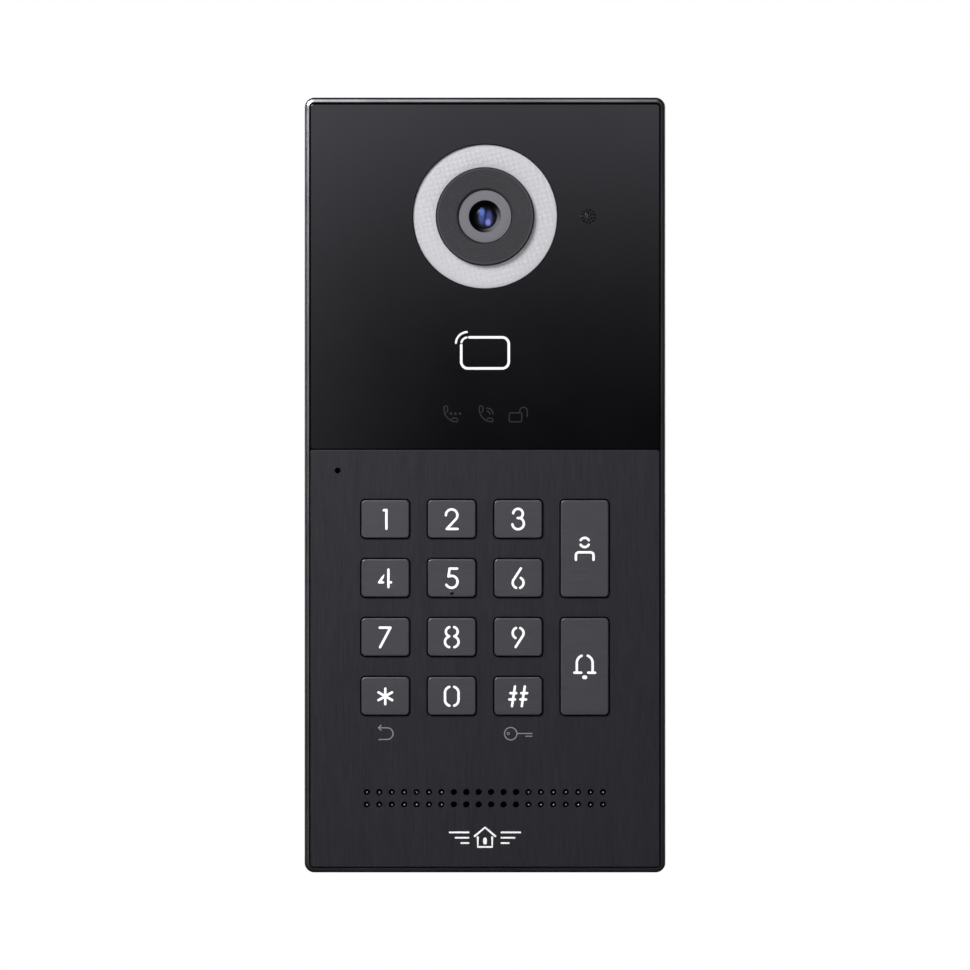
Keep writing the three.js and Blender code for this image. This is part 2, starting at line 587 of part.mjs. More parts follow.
function housingScrew() {
  const { headR, shankR, seat, head, tip } = SCREW;
  const body = revolve([
    [0, tip], [shankR, tip + 0.6], [shankR, seat + LAYER_GAP], [headR, seat + LAYER_GAP],
    [headR, seat + head - 0.6], [headR - 0.7, seat + head], [0, seat + head],
  ], SMALL_ROUND);
  const slots = [block(-1.5, 1.5, seat + 1.2, -5, -0.35, 0.35), block(-0.35, 0.35, seat + 1.2, -5, -1.5, 1.5)];
  return cut(body, slots);
}

const baySeal = () => {
  const outer = slab(roundedRect(57, 31, 3), HOUSING_BACK + 0.05, -PLATE.thickness - 0.1);
  return outer.subtract(slab(roundedRect(51, 25, 1.5), HOUSING_BACK - 1, 0));
};

// The pin stands through the housing and the bracket, and the wall holds it in against the switch.
function tamperPlunger() {
  return revolve([
    [0, -11.8], [1.5, -11.8], [1.5, -8.4], [3.2, -8.4], [3.2, -7.6], [TAMPER.r, -7.6],
    [TAMPER.r, -0.8], [TAMPER.r - 0.7, -0.1], [0, -0.1],
  ], SMALL_ROUND);
}

const tamperSwitch = () => block(-3.2, 3.2, MAIN_BOARD.back + LAYER_GAP, -12, -3.2, 3.2);

// ---------------------------------------------------------------- wall bracket
const WALL_HOLES = { x: 28, z: 76, r: 2.25 };
const BOX_SLOT = { x: 30, length: 10, r: 2.5 };

function wallBracket() {
  const { halfWidth, bottom, top, thickness } = PLATE;
  const plateFront = -thickness;
  const plate = slab(roundedBox(-halfWidth, halfWidth, bottom, top, 6), plateFront, 0);
  const neck = block(-TAB.halfWidth, TAB.halfWidth, plateFront, 0, TAB.top - thickness, bottom + 1);
  const tab = block(-TAB.halfWidth, TAB.halfWidth, TAB.front, plateFront + 0.5, TAB.top - thickness, TAB.top);
  const hooks = HOOK.rows.flatMap((z) => [-1, 1].map((s) => bracketHook(s * HOOK.x, z)));
  const tamperSlot = roundedBox(-3.5, 3.5, TAMPER.z - 3.5, TAMPER.z + LIFT + 4, 3.4);
  const holes = [
    slab(roundedRect(BAY_WINDOW.width, BAY_WINDOW.height, 3, 0, BAY.z), plateFront - 1, 1),
    slab(tamperSlot, plateFront - 1, 1),
    ...CORNERS.map(([sx, sz]) => rod(WALL_HOLES.r, plateFront - 1, 1, sx * WALL_HOLES.x, sz * WALL_HOLES.z)),
    ...[-1, 1].map((s) => slab(roundedRect(BOX_SLOT.length, 2 * BOX_SLOT.r, 2, s * BOX_SLOT.x, 0), plateFront - 1, 1)),
    rodZ(1.7, TAB.top - thickness - 1, TAB.top + 1, 0, TAB.screwY),
  ];
  return cut(join([plate, neck, tab, ...hooks]), holes);
}

// A stem through the housing's slot, with a tongue that stands up behind its back wall.
function bracketHook(x, z) {
  const half = HOOK.width / 2;
  const t = PLATE.thickness;
  const stem = block(x - half, x + half, HOOK.tongueFront, -t + 0.5, z - t, z);
  const tongue = block(x - half, x + half, HOOK.tongueFront, HOOK.tongueFront + t, z - t, z + HOOK.rise);
  return stem.add(tongue);
}

// Security screw up through the tab into the housing's lock boss; two round pits take its key.
function lockScrew() {
  const seat = TAB.top - PLATE.thickness - LAYER_GAP;
  const body = join([
    rodZ(2.6, seat - 2, seat, 0, TAB.screwY, SMALL_ROUND),
    rodZ(1.45, seat - 0.5, HOUSING.bottom + 6, 0, TAB.screwY),
  ]);
  return cut(body, [-1, 1].map((s) => rodZ(0.45, seat - 3, seat - 1, s * 1.4, TAB.screwY, 8)));
}

// ---------------------------------------------------------------- assembly
const bracket = group(panel);
addPiece(bracket, "wall_bracket", wallBracket(), BRACKET_STEEL);
addPiece(bracket, "lock_screw", lockScrew(), SCREW_STEEL);

const station = group(panel);
addPiece(station, "front_frame", frontFrame(), FRAME_METAL);
addPiece(station, "brushed_plate", brushedPlate(), BRUSHED_METAL);
addPiece(station, "glass_window", glassWindow(), BLACK_GLASS);
addPiece(station, "card_antenna", cardAntenna(), CIRCUIT_BOARD);
addPiece(station, "status_light_guide", statusLightGuide(), CLEAR_PLASTIC);
addPiece(station, "keypad_board", keypadBoard(), CIRCUIT_BOARD);
addPiece(station, "keypad_membrane", keypadMembrane(), RUBBER);
addPiece(station, "main_board", mainBoard(), CIRCUIT_BOARD);
addPiece(station, "housing_seal", sealRing(), RUBBER);
addPiece(station, "rear_housing", rearHousing(), HOUSING_PLASTIC);

const camera = group(station, 0, CAMERA_Z);
addPiece(camera, "fill_light_diffuser", diffuser(), DIFFUSER);
addPiece(camera, "fill_light_board", ring(12.3, 19.3, -26.6, -25.6), CIRCUIT_BOARD);
addPiece(camera, "lens_hood", lensHood(), HOOD_PLASTIC);
addPiece(camera, "lens_ring", lensRing(), RING_METAL);
addPiece(camera, "lens_barrel", lensBarrel(), JACK_PLASTIC);
addPiece(camera, "front_lens", frontLens(), LENS_GLASS);
addPiece(camera, "camera_board", cameraBoard(), CIRCUIT_BOARD);

const lightSensor = group(station, SENSOR_X, CAMERA_Z);
addPiece(lightSensor, "light_sensor_pipe", rod(2.4, FACE_BACK + 0.1, -25), CLEAR_PLASTIC);

const microphone = group(station, MICROPHONE.x, MICROPHONE.z);
addPiece(microphone, "microphone_boot", microphoneBoot(), RUBBER);

const speaker = group(station, 0, GRILLE.z);
addPiece(speaker, "speaker_frame", speakerFrame(), JACK_PLASTIC);
addPiece(speaker, "speaker_cone", speakerCone(), SPEAKER_BLACK);

const bay = group(station, 0, BAY.z);
addPiece(bay, "bay_seal", baySeal(), RUBBER);
addPiece(group(bay, JACK_X), "network_jack", networkJack(), JACK_PLASTIC);
addPiece(group(bay, TERMINAL_X), "terminal_block", terminalBlock(), TERMINAL_PLASTIC);

const tamper = group(station, 0, TAMPER.z);
addPiece(tamper, "tamper_switch", tamperSwitch(), JACK_PLASTIC);
addPiece(tamper, "tamper_plunger", tamperPlunger(), RUBBER);

CORNERS.forEach(([sx, sz], i) => {
  const place = group(station, sx * BOSS.x, sz * BOSS.z);
  addPiece(place, `housing_screw_${i + 1}`, housingScrew(), SCREW_STEEL);
});

for (const key of KEYS) {
  const place = group(station, key.x, key.z);
  addPiece(place, `key_${key.legend}_cap`, keyCap(key), KEY_METAL);
  addPiece(place, `key_${key.legend}_carrier`, keyCarrier(key), LEGEND);
}

export default panel;
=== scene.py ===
"""Visual model of a surface-mounted door intercom panel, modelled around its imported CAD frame."""
import math

import bmesh
import bpy
from mathutils import Matrix, Vector


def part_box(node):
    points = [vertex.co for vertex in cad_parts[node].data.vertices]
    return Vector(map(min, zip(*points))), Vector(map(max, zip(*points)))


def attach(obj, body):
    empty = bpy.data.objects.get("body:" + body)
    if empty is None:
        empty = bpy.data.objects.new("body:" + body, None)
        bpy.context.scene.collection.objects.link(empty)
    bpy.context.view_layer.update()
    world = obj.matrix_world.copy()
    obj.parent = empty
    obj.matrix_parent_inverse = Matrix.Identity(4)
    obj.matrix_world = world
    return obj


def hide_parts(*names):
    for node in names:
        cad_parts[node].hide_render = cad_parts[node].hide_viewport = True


bl_info = {
    "name": "Door Intercom Panel",
    "version": (1, 0, 0),
    "blender": (4, 5, 0),
    "location": "View3D > Sidebar > Door Panel",
    "description": "Models a door intercom panel with a camera, a card reader and a metal keypad",
    "category": "Object",
}

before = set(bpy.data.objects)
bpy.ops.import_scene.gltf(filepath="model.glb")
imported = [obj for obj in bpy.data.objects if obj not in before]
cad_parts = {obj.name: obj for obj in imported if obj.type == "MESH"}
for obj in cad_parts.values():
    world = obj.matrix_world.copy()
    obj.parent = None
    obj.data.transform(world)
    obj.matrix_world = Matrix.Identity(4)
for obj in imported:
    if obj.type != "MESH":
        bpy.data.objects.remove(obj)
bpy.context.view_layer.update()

MM = 0.001
STATION = "station"
BRACKET = "wall_bracket"


# ------------------------------------------------------------------ places read from the frame
def node_box(name):
    """Left, right, front, back, bottom and top of a CAD node."""
    low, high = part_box(name)
    return low.x, high.x, low.y, high.y, low.z, high.z


def node_centre(name):
    """The middle of a CAD node."""
    low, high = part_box(name)
    return (low + high) / 2


KEY_NAMES = [n[4:-4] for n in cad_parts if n.startswith("key_") and n.endswith("_cap")]
LENS_AXIS = node_centre("front_lens")
CAMERA_X, CAMERA_Z = LENS_AXIS.x, LENS_AXIS.z


# ------------------------------------------------------------------ mesh helpers
def in_plane(x, y, z):
    """Places a shape drawn flat in X and Y into the panel's face, at depth y."""
    return Matrix.Translation((x, y, z)) @ Matrix.Rotation(math.radians(90), 4, "X")


def loop_edges(verts):
    """The edges that run between these vertices."""
    chosen = set(verts)
    return [e for e in {e for v in verts for e in v.link_edges} if all(v in chosen for v in e.verts)]


def grow(box, by):
    """The rectangle moved out on every side; box is its left, right, bottom and top."""
    left, right, bottom, top = box
    return left - by, right + by, bottom - by, top + by


def place_ring(ways, box, radius, y):
    """Moves a ring's vertices onto a rounded rectangle; ways holds their directions from its corners."""
    left, right, bottom, top = box
    for vert, way in ways.items():
        x = right - radius if way.x > 0 else left + radius
        z = top - radius if way.z > 0 else bottom + radius
        vert.co = Vector((x + radius * way.x, y, z + radius * way.z))


def rounded_skin(bm, rings, steps=6, closed=False):
    """A skin through rounded rectangles of (box, corner radius, y); closed joins the last to the first."""
    half_step = math.pi / (4 * steps)
    turn = Matrix.Rotation(half_step, 4, "Z")
    made = bmesh.ops.create_circle(
        bm, segments=4 * steps, radius=1 / math.cos(half_step), matrix=in_plane(0, 0, 0) @ turn)
    ways = {vert: vert.co.copy() for vert in made["verts"]}
    edges = loop_edges(ways)
    first_edges = edges
    place_ring(ways, *rings[0])
    for ring in rings[1:] + (rings[:1] if closed else []):
        grown = bmesh.ops.extrude_edge_only(bm, edges=edges)["geom"]
        edges = [g for g in grown if isinstance(g, bmesh.types.BMEdge)]
        new_ways = {}
        for vert in (g for g in grown if isinstance(g, bmesh.types.BMVert)):
            old = next(e.other_vert(vert) for e in vert.link_edges if e.other_vert(vert) in ways)
            new_ways[vert] = ways[old]
        ways = new_ways
        edges = loop_edges(ways)
        place_ring(ways, *ring)
    if not closed:
        bmesh.ops.contextual_create(bm, geom=first_edges)
        bmesh.ops.contextual_create(bm, geom=edges)


def rounded_slab(bm, box, radius, front, back, front_round=0.0, back_round=0.0, steps=6, round_steps=3):
    """A plate with rounded corners and, where asked, rounded front and back edges."""
    rings = []
    for depth, by, sign in ((front, front_round, 1), (back, back_round, -1)):
        count = round_steps if by else 0
        turns = [math.pi / 2 * i / count for i in range(count + 1)] if by else [math.pi / 2]
        arc = [(by * (1 - math.sin(turn)), depth + sign * by * (1 - math.cos(turn))) for turn in turns]
        rings += arc if sign > 0 else arc[::-1]
    rounded_skin(bm, [(grow(box, -inset), max(radius - inset, 0.05 * MM), y) for inset, y in rings], steps)


def turned(bm, profile, x=0.0, z=0.0, segments=48):
    """Spins a profile of (radius, y) points about an axis that runs front to back."""
    verts = [bm.verts.new((x + r, y, z)) for r, y in profile]
    edges = [bm.edges.new(pair) for pair in zip(verts, verts[1:])]
    bmesh.ops.spin(
        bm,
        geom=verts + edges,
        cent=(x, 0, z),
        axis=(0, 1, 0),
        dvec=(0, 0, 0),
        angle=2 * math.pi,
        steps=segments,
        use_merge=True,
        use_duplicate=False,
    )


def closed_turned(bm, profile, x=0.0, z=0.0, segments=48):
    """A turned ring whose profile closes on itself."""
    turned(bm, profile + profile[:1], x, z, segments)


def brick(bm, left, right, front, back, bottom, top):
    """A plain block."""
    size = (right - left, back - front, top - bottom)
    middle = Vector(((left + right) / 2, (front + back) / 2, (bottom + top) / 2))
    bmesh.ops.create_cube(bm, size=1.0, matrix=Matrix.Translation(middle) @ Matrix.Diagonal((*size, 1)))


def rod(bm, radius, front, back, x=0.0, z=0.0, segments=24, tip_radius=None):
    """A round bar or cone from front to back."""
    tip = radius if tip_radius is None else tip_radius
    place = Matrix.Translation((x, (front + back) / 2, z)) @ Matrix.Rotation(math.radians(-90), 4, "X")
    bmesh.ops.create_cone(
        bm, cap_ends=True, segments=segments, radius1=tip, radius2=radius, depth=back - front, matrix=place
    )


def tidy(bm):
    """Merges doubles and turns every face outwards."""
    bmesh.ops.remove_doubles(bm, verts=bm.verts, dist=0.0005 * MM)
    bmesh.ops.recalc_face_normals(bm, faces=bm.faces)


def as_object(name, bm):
    """Puts a bmesh into a new object at the origin."""
    tidy(bm)
    mesh = bpy.data.meshes.new(name)
    bm.to_mesh(mesh)
    bm.free()
    piece = bpy.data.objects.new(name, mesh)
    bpy.context.scene.collection.objects.link(piece)
    return piece


def carve(piece, cutter, operation="DIFFERENCE"):
    """Cuts or joins one object with another and keeps only the result."""
    boolean = piece.modifiers.new("cut", "BOOLEAN")
    boolean.operation = operation
    boolean.object = cutter
    boolean.solver = "EXACT"
    boolean.use_self = True
    bpy.context.view_layer.update()
    result = bpy.data.meshes.new_from_object(piece.evaluated_get(bpy.context.evaluated_depsgraph_get()))
    piece.modifiers.clear()
    old = piece.data
    piece.data = result
    result.name = piece.name
    bpy.data.meshes.remove(old)
    cutter_mesh = cutter.data
    bpy.data.objects.remove(cutter)
    bpy.data.meshes.remove(cutter_mesh)


def finish_piece(piece, material, body, replaces=(), smooth=35):
    """Shades a piece, gives it its material and fastens it to its body."""
    mesh = piece.data
    mesh.shade_smooth()
    mesh.set_sharp_from_angle(angle=math.radians(smooth))
    mesh.materials.clear()
    mesh.materials.append(material)
    even = piece.modifiers.new("flat faces stay flat", "WEIGHTED_NORMAL")
    even.keep_sharp = True
    even.weight = 100
    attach(piece, body)
    if replaces:
        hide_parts(*replaces)
    return piece


def make(name, bm, material, body, replaces=(), smooth=35):
    """A finished piece straight from a bmesh."""
    return finish_piece(as_object(name, bm), material, body, replaces, smooth)


def dress(node_name, material, bevel=0.0, segments=2):
    """Gives a CAD node its material, and softens its edges with modifiers."""
    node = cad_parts[node_name]
    node.data.materials.clear()
    node.data.materials.append(material)
    if not bevel:
        return
    weld = node.modifiers.new("weld", "WELD")
    weld.merge_threshold = 0.001 * MM
    soft = node.modifiers.new("soft edges", "BEVEL")
    soft.width = bevel
    soft.segments = segments
    soft.limit_method = "ANGLE"
    soft.angle_limit = math.radians(40)
    soft.use_clamp_overlap = True


# ------------------------------------------------------------------ strokes
ARC_STEP = 9  # degrees


def bend(cx, cz, radius, start, end):
    """Points along an arc, in millimetres, with angles in degrees."""
    steps = math.ceil(abs(end - start) / ARC_STEP)
    angles = [math.radians(start + (end - start) * i / steps) for i in range(steps + 1)]
    return [(cx + radius * math.cos(a), cz + radius * math.sin(a)) for a in angles]


def mirrored(strokes):
    """Each stroke and its left-right mirror image."""
    return [s for points, width in strokes for s in ((points, width), ([(-x, z) for x, z in points], width))]


def heading_at(points, i):
    """Direction of travel at one point of a path, as an angle."""
    before = points[max(i - 1, 0)]
    after = points[min(i + 1, len(points) - 1)]
    return math.atan2(after[1] - before[1], after[0] - before[0])


def stroke(bm, points, width, front, back, x=0.0, z=0.0):
    """A bar of even width with round ends, laid along a path in the panel's face."""
    half = width * MM / 2
    path = [Vector((x + px * MM, front, z + pz * MM)) for px, pz in points]
    headings = [heading_at(points, i) for i in range(len(points))]
    across = Vector((-math.sin(headings[0]), 0, math.cos(headings[0])))
    row = [bm.verts.new(path[0] + across * side) for side in (-half, 0, half)]
    edges = [bm.edges.new(pair) for pair in zip(row, row[1:])]
    faces = []
    end_fan(bm, edges[1], path[0], math.pi, faces)
    for i in range(1, len(path)):
        grown = bmesh.ops.extrude_edge_only(bm, edges=edges)["geom"]
        row = [g for g in grown if isinstance(g, bmesh.types.BMVert)]
        edges = [g for g in grown if isinstance(g, bmesh.types.BMEdge)]
        faces += [g for g in grown if isinstance(g, bmesh.types.BMFace)]
        swing = Matrix.Rotation(headings[i - 1] - headings[i], 3, "Y")
        bmesh.ops.rotate(bm, verts=row, cent=path[i - 1], matrix=swing)
        bmesh.ops.translate(bm, verts=row, vec=path[i] - path[i - 1])
    ahead = Vector((math.cos(headings[-1]), 0, math.sin(headings[-1])))
    side = max(edges, key=lambda e: signed_side(e, path[-1], ahead))
    end_fan(bm, side, path[-1], -math.pi, faces)
    bmesh.ops.remove_doubles(bm, verts=list({v for f in faces for v in f.verts}), dist=0.0005 * MM)
    faces = [f for f in faces if f.is_valid]
    thick = bmesh.ops.extrude_face_region(bm, geom=faces)
    moved = [g for g in thick["geom"] if isinstance(g, bmesh.types.BMVert)]
    bmesh.ops.translate(bm, verts=moved, vec=(0, back - front, 0))


def signed_side(edge, point, ahead):
    """How far the middle of an edge lies to the left of a direction of travel."""
    middle = (edge.verts[0].co + edge.verts[1].co) / 2 - point
    return ahead.x * middle.z - ahead.z * middle.x


def end_fan(bm, edge, point, angle, faces):
    """Rounds the end of a stroke with half a disc."""
    before = set(bm.faces)
    bmesh.ops.spin(
        bm,
        geom=[edge, *edge.verts],
        cent=point,
        axis=(0, 1, 0),
        dvec=(0, 0, 0),
        angle=-angle,
        steps=10,
        use_merge=False,
        use_duplicate=False,
    )
    faces += [f for f in bm.faces if f not in before]


LEGEND_WIDTH = 0.59


def bar(x1, z1, x2, z2, width=LEGEND_WIDTH):
    """A straight stroke."""
    return [(x1, z1), (x2, z2)], width


def sweep(*runs):
    """A stroke through several runs of points."""
    return [p for run in runs for p in run], LEGEND_WIDTH


LEGENDS = {
    "1": [bar(-0.37, 2.14, 0.27, 2.2), bar(0.27, 2.2, 0.27, -2.36)],
    "2": [sweep(bend(-0.03, 0.93, 1.41, 180, -42), [(-1.23, -2.41)]), bar(-1.23, -2.41, 1.41, -2.41)],
    "3": [
        sweep(bend(-0.05, 1.31, 1.17, 175, -42)),
        bar(-0.13, 0.24, 0.4, 0.24),
        sweep(bend(-0.03, -1.1, 1.4, 72, -172)),
    ],
    "4": [
        bar(0.76, 2.06, 0.76, -2.2),
        bar(0.76, -1.05, 1.4, -1.05),
        bar(-1.48, -1.05, -0.55, -1.05),
        bar(-1.48, -1.05, -0.6, 0.22),
        bar(-0.6, 0.22, -0.36, 0.74, 0.26),
    ],
    "5": [
        bar(-0.53, 2.3, 1.3, 2.3),
        bar(-0.53, 2.3, -0.8, 0.41),
        sweep(bend(-0.05, -0.92, 1.46, 118, -150)),
    ],
    "6": [
        sweep([(0.65, 2.33)], bend(-0.03, -1.15, 1.33, 147, 248)),
        sweep(bend(-0.03, -1.15, 1.33, 61, -68)),
    ],
    "7": [bar(-1.34, 2.28, 1.25, 2.28), bar(1.25, 2.28, -1.25, -2.47)],
    "8": mirrored([
        sweep(bend(0.3, 1.29, 1.14, 75, -62)),
        sweep(bend(0.35, -1.18, 1.31, 72, -78)),
        bar(0.62, 0.18, 0.84, 0.18),
    ]),
    "9": [
        sweep(bend(-0.03, 0.96, 1.33, 112, 242)),
        sweep(bend(-0.03, 0.96, 1.33, 67, -33), [(-0.64, -2.44)]),
    ],
    "star": [bar(0, 1.82, 0, -1.98), bar(-1.66, 0.9, 1.66, -1), bar(-1.66, -1, 1.66, 0.9)],
    "0": mirrored([sweep(bend(0.17, 0.8, 1.48, 74, 0), bend(0.17, -0.93, 1.48, 0, -74))]),
    "hash": [
        bar(-0.8, 2.32, -1.52, -2.45),
        bar(1.6, 2.32, 0.86, -2.45),
        bar(-1.92, 0.7, -0.5, 0.7),
        bar(0.76, 0.7, 2.16, 0.7),
        bar(-2.16, -0.83, -0.77, -0.83),
        bar(0.52, -0.83, 1.9, -0.83),
    ],
    "person": [
        sweep(bend(0, 1.48, 1.12, 150, 30)),
        sweep(bend(0, 1.48, 1.12, -30, -150)),
        sweep([(-2.15, -2.75)], bend(-1.4, -1.67, 0.75, 180, 90), bend(1.4, -1.67, 0.75, 90, 0),
              [(2.15, -2.75)]),
    ],
    "bell": [
        *mirrored([sweep(bend(0.04, 0.88, 1.89, 68, 0), [(1.93, -1.45)]), bar(0.85, -1.5, 2.54, -1.5)]),
        bar(-0.17, -2.63, 0.17, -2.63, 0.9),
    ],
}


CARD_SYMBOL = [
    (
        [(-5.79, 34.1), *bend(-4.19, 30.03, 1.6, 180, 270), *bend(4.19, 30.03, 1.6, 270, 360),
         *bend(4.19, 34.4, 1.6, 0, 90), (-3.82, 36.0)],
        0.62,
    ),
    (bend(-4.24, 34.45, 1.54, 100, 167), 0.5),
    (bend(-4.24, 34.45, 2.86, 94, 176), 0.5),
]


def handset(x, width=0.3):
    """The outline of a telephone receiver, standing on its lower right end."""
    return [
        (bend(x + 3.1, 18.5, 3.1, 168, 272), width),
        ([(x + 0.06, 19.1), (x + 0.5, 19.35), (x + 0.9, 19.0), (x + 0.92, 18.1), (x + 0.6, 17.75)], width),
        ([(x + 3.2, 15.45), (x + 3.42, 15.85), (x + 3.05, 16.25), (x + 2.2, 16.35), (x + 1.85, 16.05)],
         width),
    ]


STATUS_SYMBOLS = [
    *handset(-10.0),
    *[([(x, 17.4), (x + 0.01, 17.4)], 0.6) for x in (-8.3, -7.2, -6.1)],
    *handset(-1.4),
    (bend(0.5, 17.3, 0.7, 0, 90), 0.3),
    (bend(0.5, 17.3, 1.45, 0, 90), 0.3),
    ([(8.55, 17.6), (6.35, 17.6), *bend(6.35, 17.15, 0.45, 90, 180), *bend(6.35, 15.85, 0.45, 180, 270),
      *bend(8.5, 15.85, 0.45, 270, 360), (8.95, 17.6)], 0.3),
    ([(8.5, 17.6), *bend(9.4, 18.05, 0.9, 180, 0), (10.3, 16.7)], 0.3),
]
RETURN_SYMBOL = [
    ([(-26.0, -59.2), *bend(-23.84, -60.62, 1.42, 90, -90), (-25.87, -62.04)], 0.28),
    ([(-25.35, -58.6), (-26.0, -59.2), (-25.35, -59.8)], 0.28),
]
KEY_SYMBOL = [
    (bend(6.27, -60.63, 1.52, 0, 360), 0.28),
    (bend(5.66, -60.6, 0.28, 0, 360), 0.2),
    ([(7.79, -60.58), (11.45, -60.58)], 0.28),
    ([(9.93, -61.25), (11.45, -61.25)], 0.24),
]
MARK_MIDDLE = -85.9
HOUSE_MARK = [
    ([(-2.5, MARK_MIDDLE + 0.3), (0, MARK_MIDDLE + 2.4), (2.5, MARK_MIDDLE + 0.3)], 0.5),
    ([(-1.75, MARK_MIDDLE), (-1.75, MARK_MIDDLE - 2.35), (1.75, MARK_MIDDLE - 2.35), (1.75, MARK_MIDDLE)],
     0.5),
    ([(0, MARK_MIDDLE - 0.5), (0, MARK_MIDDLE - 1.3)], 0.9),
    *mirrored([
        ([(4.0, MARK_MIDDLE + 1.2), (8.6, MARK_MIDDLE + 1.2)], 0.42),
        ([(4.0, MARK_MIDDLE - 0.1), (7.2, MARK_MIDDLE - 0.1)], 0.42),
        ([(4.0, MARK_MIDDLE - 1.4), (5.8, MARK_MIDDLE - 1.4)], 0.42),
    ]),
]


# ------------------------------------------------------------------ shader helpers
def new_node(tree, kind, values=None, **settings):
    """Adds a shader node with its settings; values holds numbers, colours and other nodes' outputs."""
    made = tree.nodes.new(kind)
    for key, value in settings.items():
        setattr(made, key, value)
    for socket, value in (values or {}).items():
        if isinstance(value, bpy.types.NodeSocket):
            tree.links.new(value, made.inputs[socket])
        else:
            made.inputs[socket].default_value = value
    return made


def new_group(name, sockets_in, sockets_out):
    """An empty shader node group; sockets are (name, type, default)."""
    group = bpy.data.node_groups.new(name, "ShaderNodeTree")
    for label, kind, default in sockets_in:
        socket = group.interface.new_socket(name=label, in_out="INPUT", socket_type=kind)
        if default is not None:
            socket.default_value = default
    for label, kind in sockets_out:
        group.interface.new_socket(name=label, in_out="OUTPUT", socket_type=kind)
    return group, group.nodes.new("NodeGroupInput"), group.nodes.new("NodeGroupOutput")


def brushed_lines_group():
    """Long fine scratches along one direction, with slow bands under them."""
    group, entry, leave = new_group(
        "Brushed Lines",
        [("Vector", "NodeSocketVector", None), ("Stretch", "NodeSocketVector", (1, 1, 1)),
         ("Bands", "NodeSocketFloat", 0.35)],
        [("Mask", "NodeSocketFloat")],
    )
    stretched = new_node(group, "ShaderNodeVectorMath", {
        0: entry.outputs["Vector"], 1: entry.outputs["Stretch"]}, operation="MULTIPLY").outputs[0]
    fine = new_node(group, "ShaderNodeTexNoise", {
        "Vector": stretched, "Scale": 1.0, "Detail": 3.0, "Roughness": 0.7})
    slow_place = new_node(
        group, "ShaderNodeVectorMath", {0: stretched, 1: (0.13, 0.13, 0.13)}, operation="MULTIPLY")
    slow = new_node(group, "ShaderNodeTexNoise", {
        "Vector": slow_place.outputs[0], "Scale": 1.0, "Detail": 2.0, "Roughness": 0.5})
    blend = new_node(group, "ShaderNodeMix", {
        "Factor": entry.outputs["Bands"], "A": fine.outputs["Fac"], "B": slow.outputs["Fac"]})
    spread = new_node(group, "ShaderNodeMapRange", {
        "Value": blend.outputs["Result"], "From Min": 0.3, "From Max": 0.7})
    group.links.new(spread.outputs["Result"], leave.inputs["Mask"])
    return group


def fine_grain_group():
    """Even small grain for cast, blasted and moulded surfaces, with faint soft blotches."""
    group, entry, leave = new_group(
        "Fine Grain",
        [("Vector", "NodeSocketVector", None), ("Grain Size", "NodeSocketFloat", 0.2 * MM),
         ("Blotch Size", "NodeSocketFloat", 12 * MM)],
        [("Grain", "NodeSocketFloat"), ("Blotch", "NodeSocketFloat")],
    )
    for size, out, detail in (("Grain Size", "Grain", 2.0), ("Blotch Size", "Blotch", 3.0)):
        scale = new_node(group, "ShaderNodeMath", {0: 1.0, 1: entry.outputs[size]}, operation="DIVIDE")
        noise = new_node(group, "ShaderNodeTexNoise", {
            "Vector": entry.outputs["Vector"], "Scale": scale.outputs[0], "Detail": detail, "Roughness": 0.6})
        spread = new_node(group, "ShaderNodeMapRange", {
            "Value": noise.outputs["Fac"], "From Min": 0.3, "From Max": 0.7})
        group.links.new(spread.outputs["Result"], leave.inputs[out])
    return group


def soft_spot_group():
    """One soft oval spot: 1 at its centre and 0 from its edge outwards."""
    group, entry, leave = new_group(
        "Soft Spot",
        [("Vector", "NodeSocketVector", None), ("Centre", "NodeSocketVector", (0, 0, 0)),
         ("Half Size", "NodeSocketVector", (1, 1, 1)), ("Core", "NodeSocketFloat", 0.3)],
        [("Mask", "NodeSocketFloat")],
    )
    offset = new_node(group, "ShaderNodeVectorMath", {
        0: entry.outputs["Vector"], 1: entry.outputs["Centre"]}, operation="SUBTRACT")
    share = new_node(group, "ShaderNodeVectorMath", {
        0: offset.outputs[0], 1: entry.outputs["Half Size"]}, operation="DIVIDE")
    distance = new_node(group, "ShaderNodeVectorMath", {0: share.outputs[0]}, operation="LENGTH")
    fade = new_node(group, "ShaderNodeMapRange", {
        "Value": distance.outputs["Value"], "From Min": entry.outputs["Core"], "From Max": 1.0,
        "To Min": 1.0, "To Max": 0.0}, interpolation_type="SMOOTHSTEP")
    group.links.new(fade.outputs["Result"], leave.inputs["Mask"])
    return group


GROUPS = {}
GROUP_MAKERS = {
    "Brushed Lines": brushed_lines_group,
    "Fine Grain": fine_grain_group,
    "Soft Spot": soft_spot_group,
}


def shared_group(name):
    """Builds a shared node group the first time that a material asks for it."""
    if name not in GROUPS:
        GROUPS[name] = GROUP_MAKERS[name]()
    return GROUPS[name]


def place_group(tree, name, values=None):
    """Places a shared group in a material, fed with object coordinates."""
    where = new_node(tree, "ShaderNodeTexCoord")
    sockets = {"Vector": where.outputs["Object"], **(values or {})}
    return new_node(tree, "ShaderNodeGroup", sockets, node_tree=shared_group(name))


def start_material(name, **shader):
    """A material with a Principled shader whose constant values are set by socket name."""
    material = bpy.data.materials.new(name)
    material.use_nodes = True
    tree = material.node_tree
    principled = tree.nodes["Principled BSDF"]
    for socket, value in shader.items():
        principled.inputs[socket.replace("_", " ")].default_value = value
    return material, tree, principled


def mix_colours(tree, mask, low, high):
    """Blends two colours by a mask; a colour is a value or another node's output."""
    mix = new_node(tree, "ShaderNodeMix", data_type="RGBA")
    for socket, colour in zip([s for s in mix.inputs if s.type == "RGBA"], (low, high)):
        if isinstance(colour, tuple):
            socket.default_value = colour
        else:
            tree.links.new(colour, socket)
    tree.links.new(mask, mix.inputs["Factor"])
    return next(s for s in mix.outputs if s.type == "RGBA")


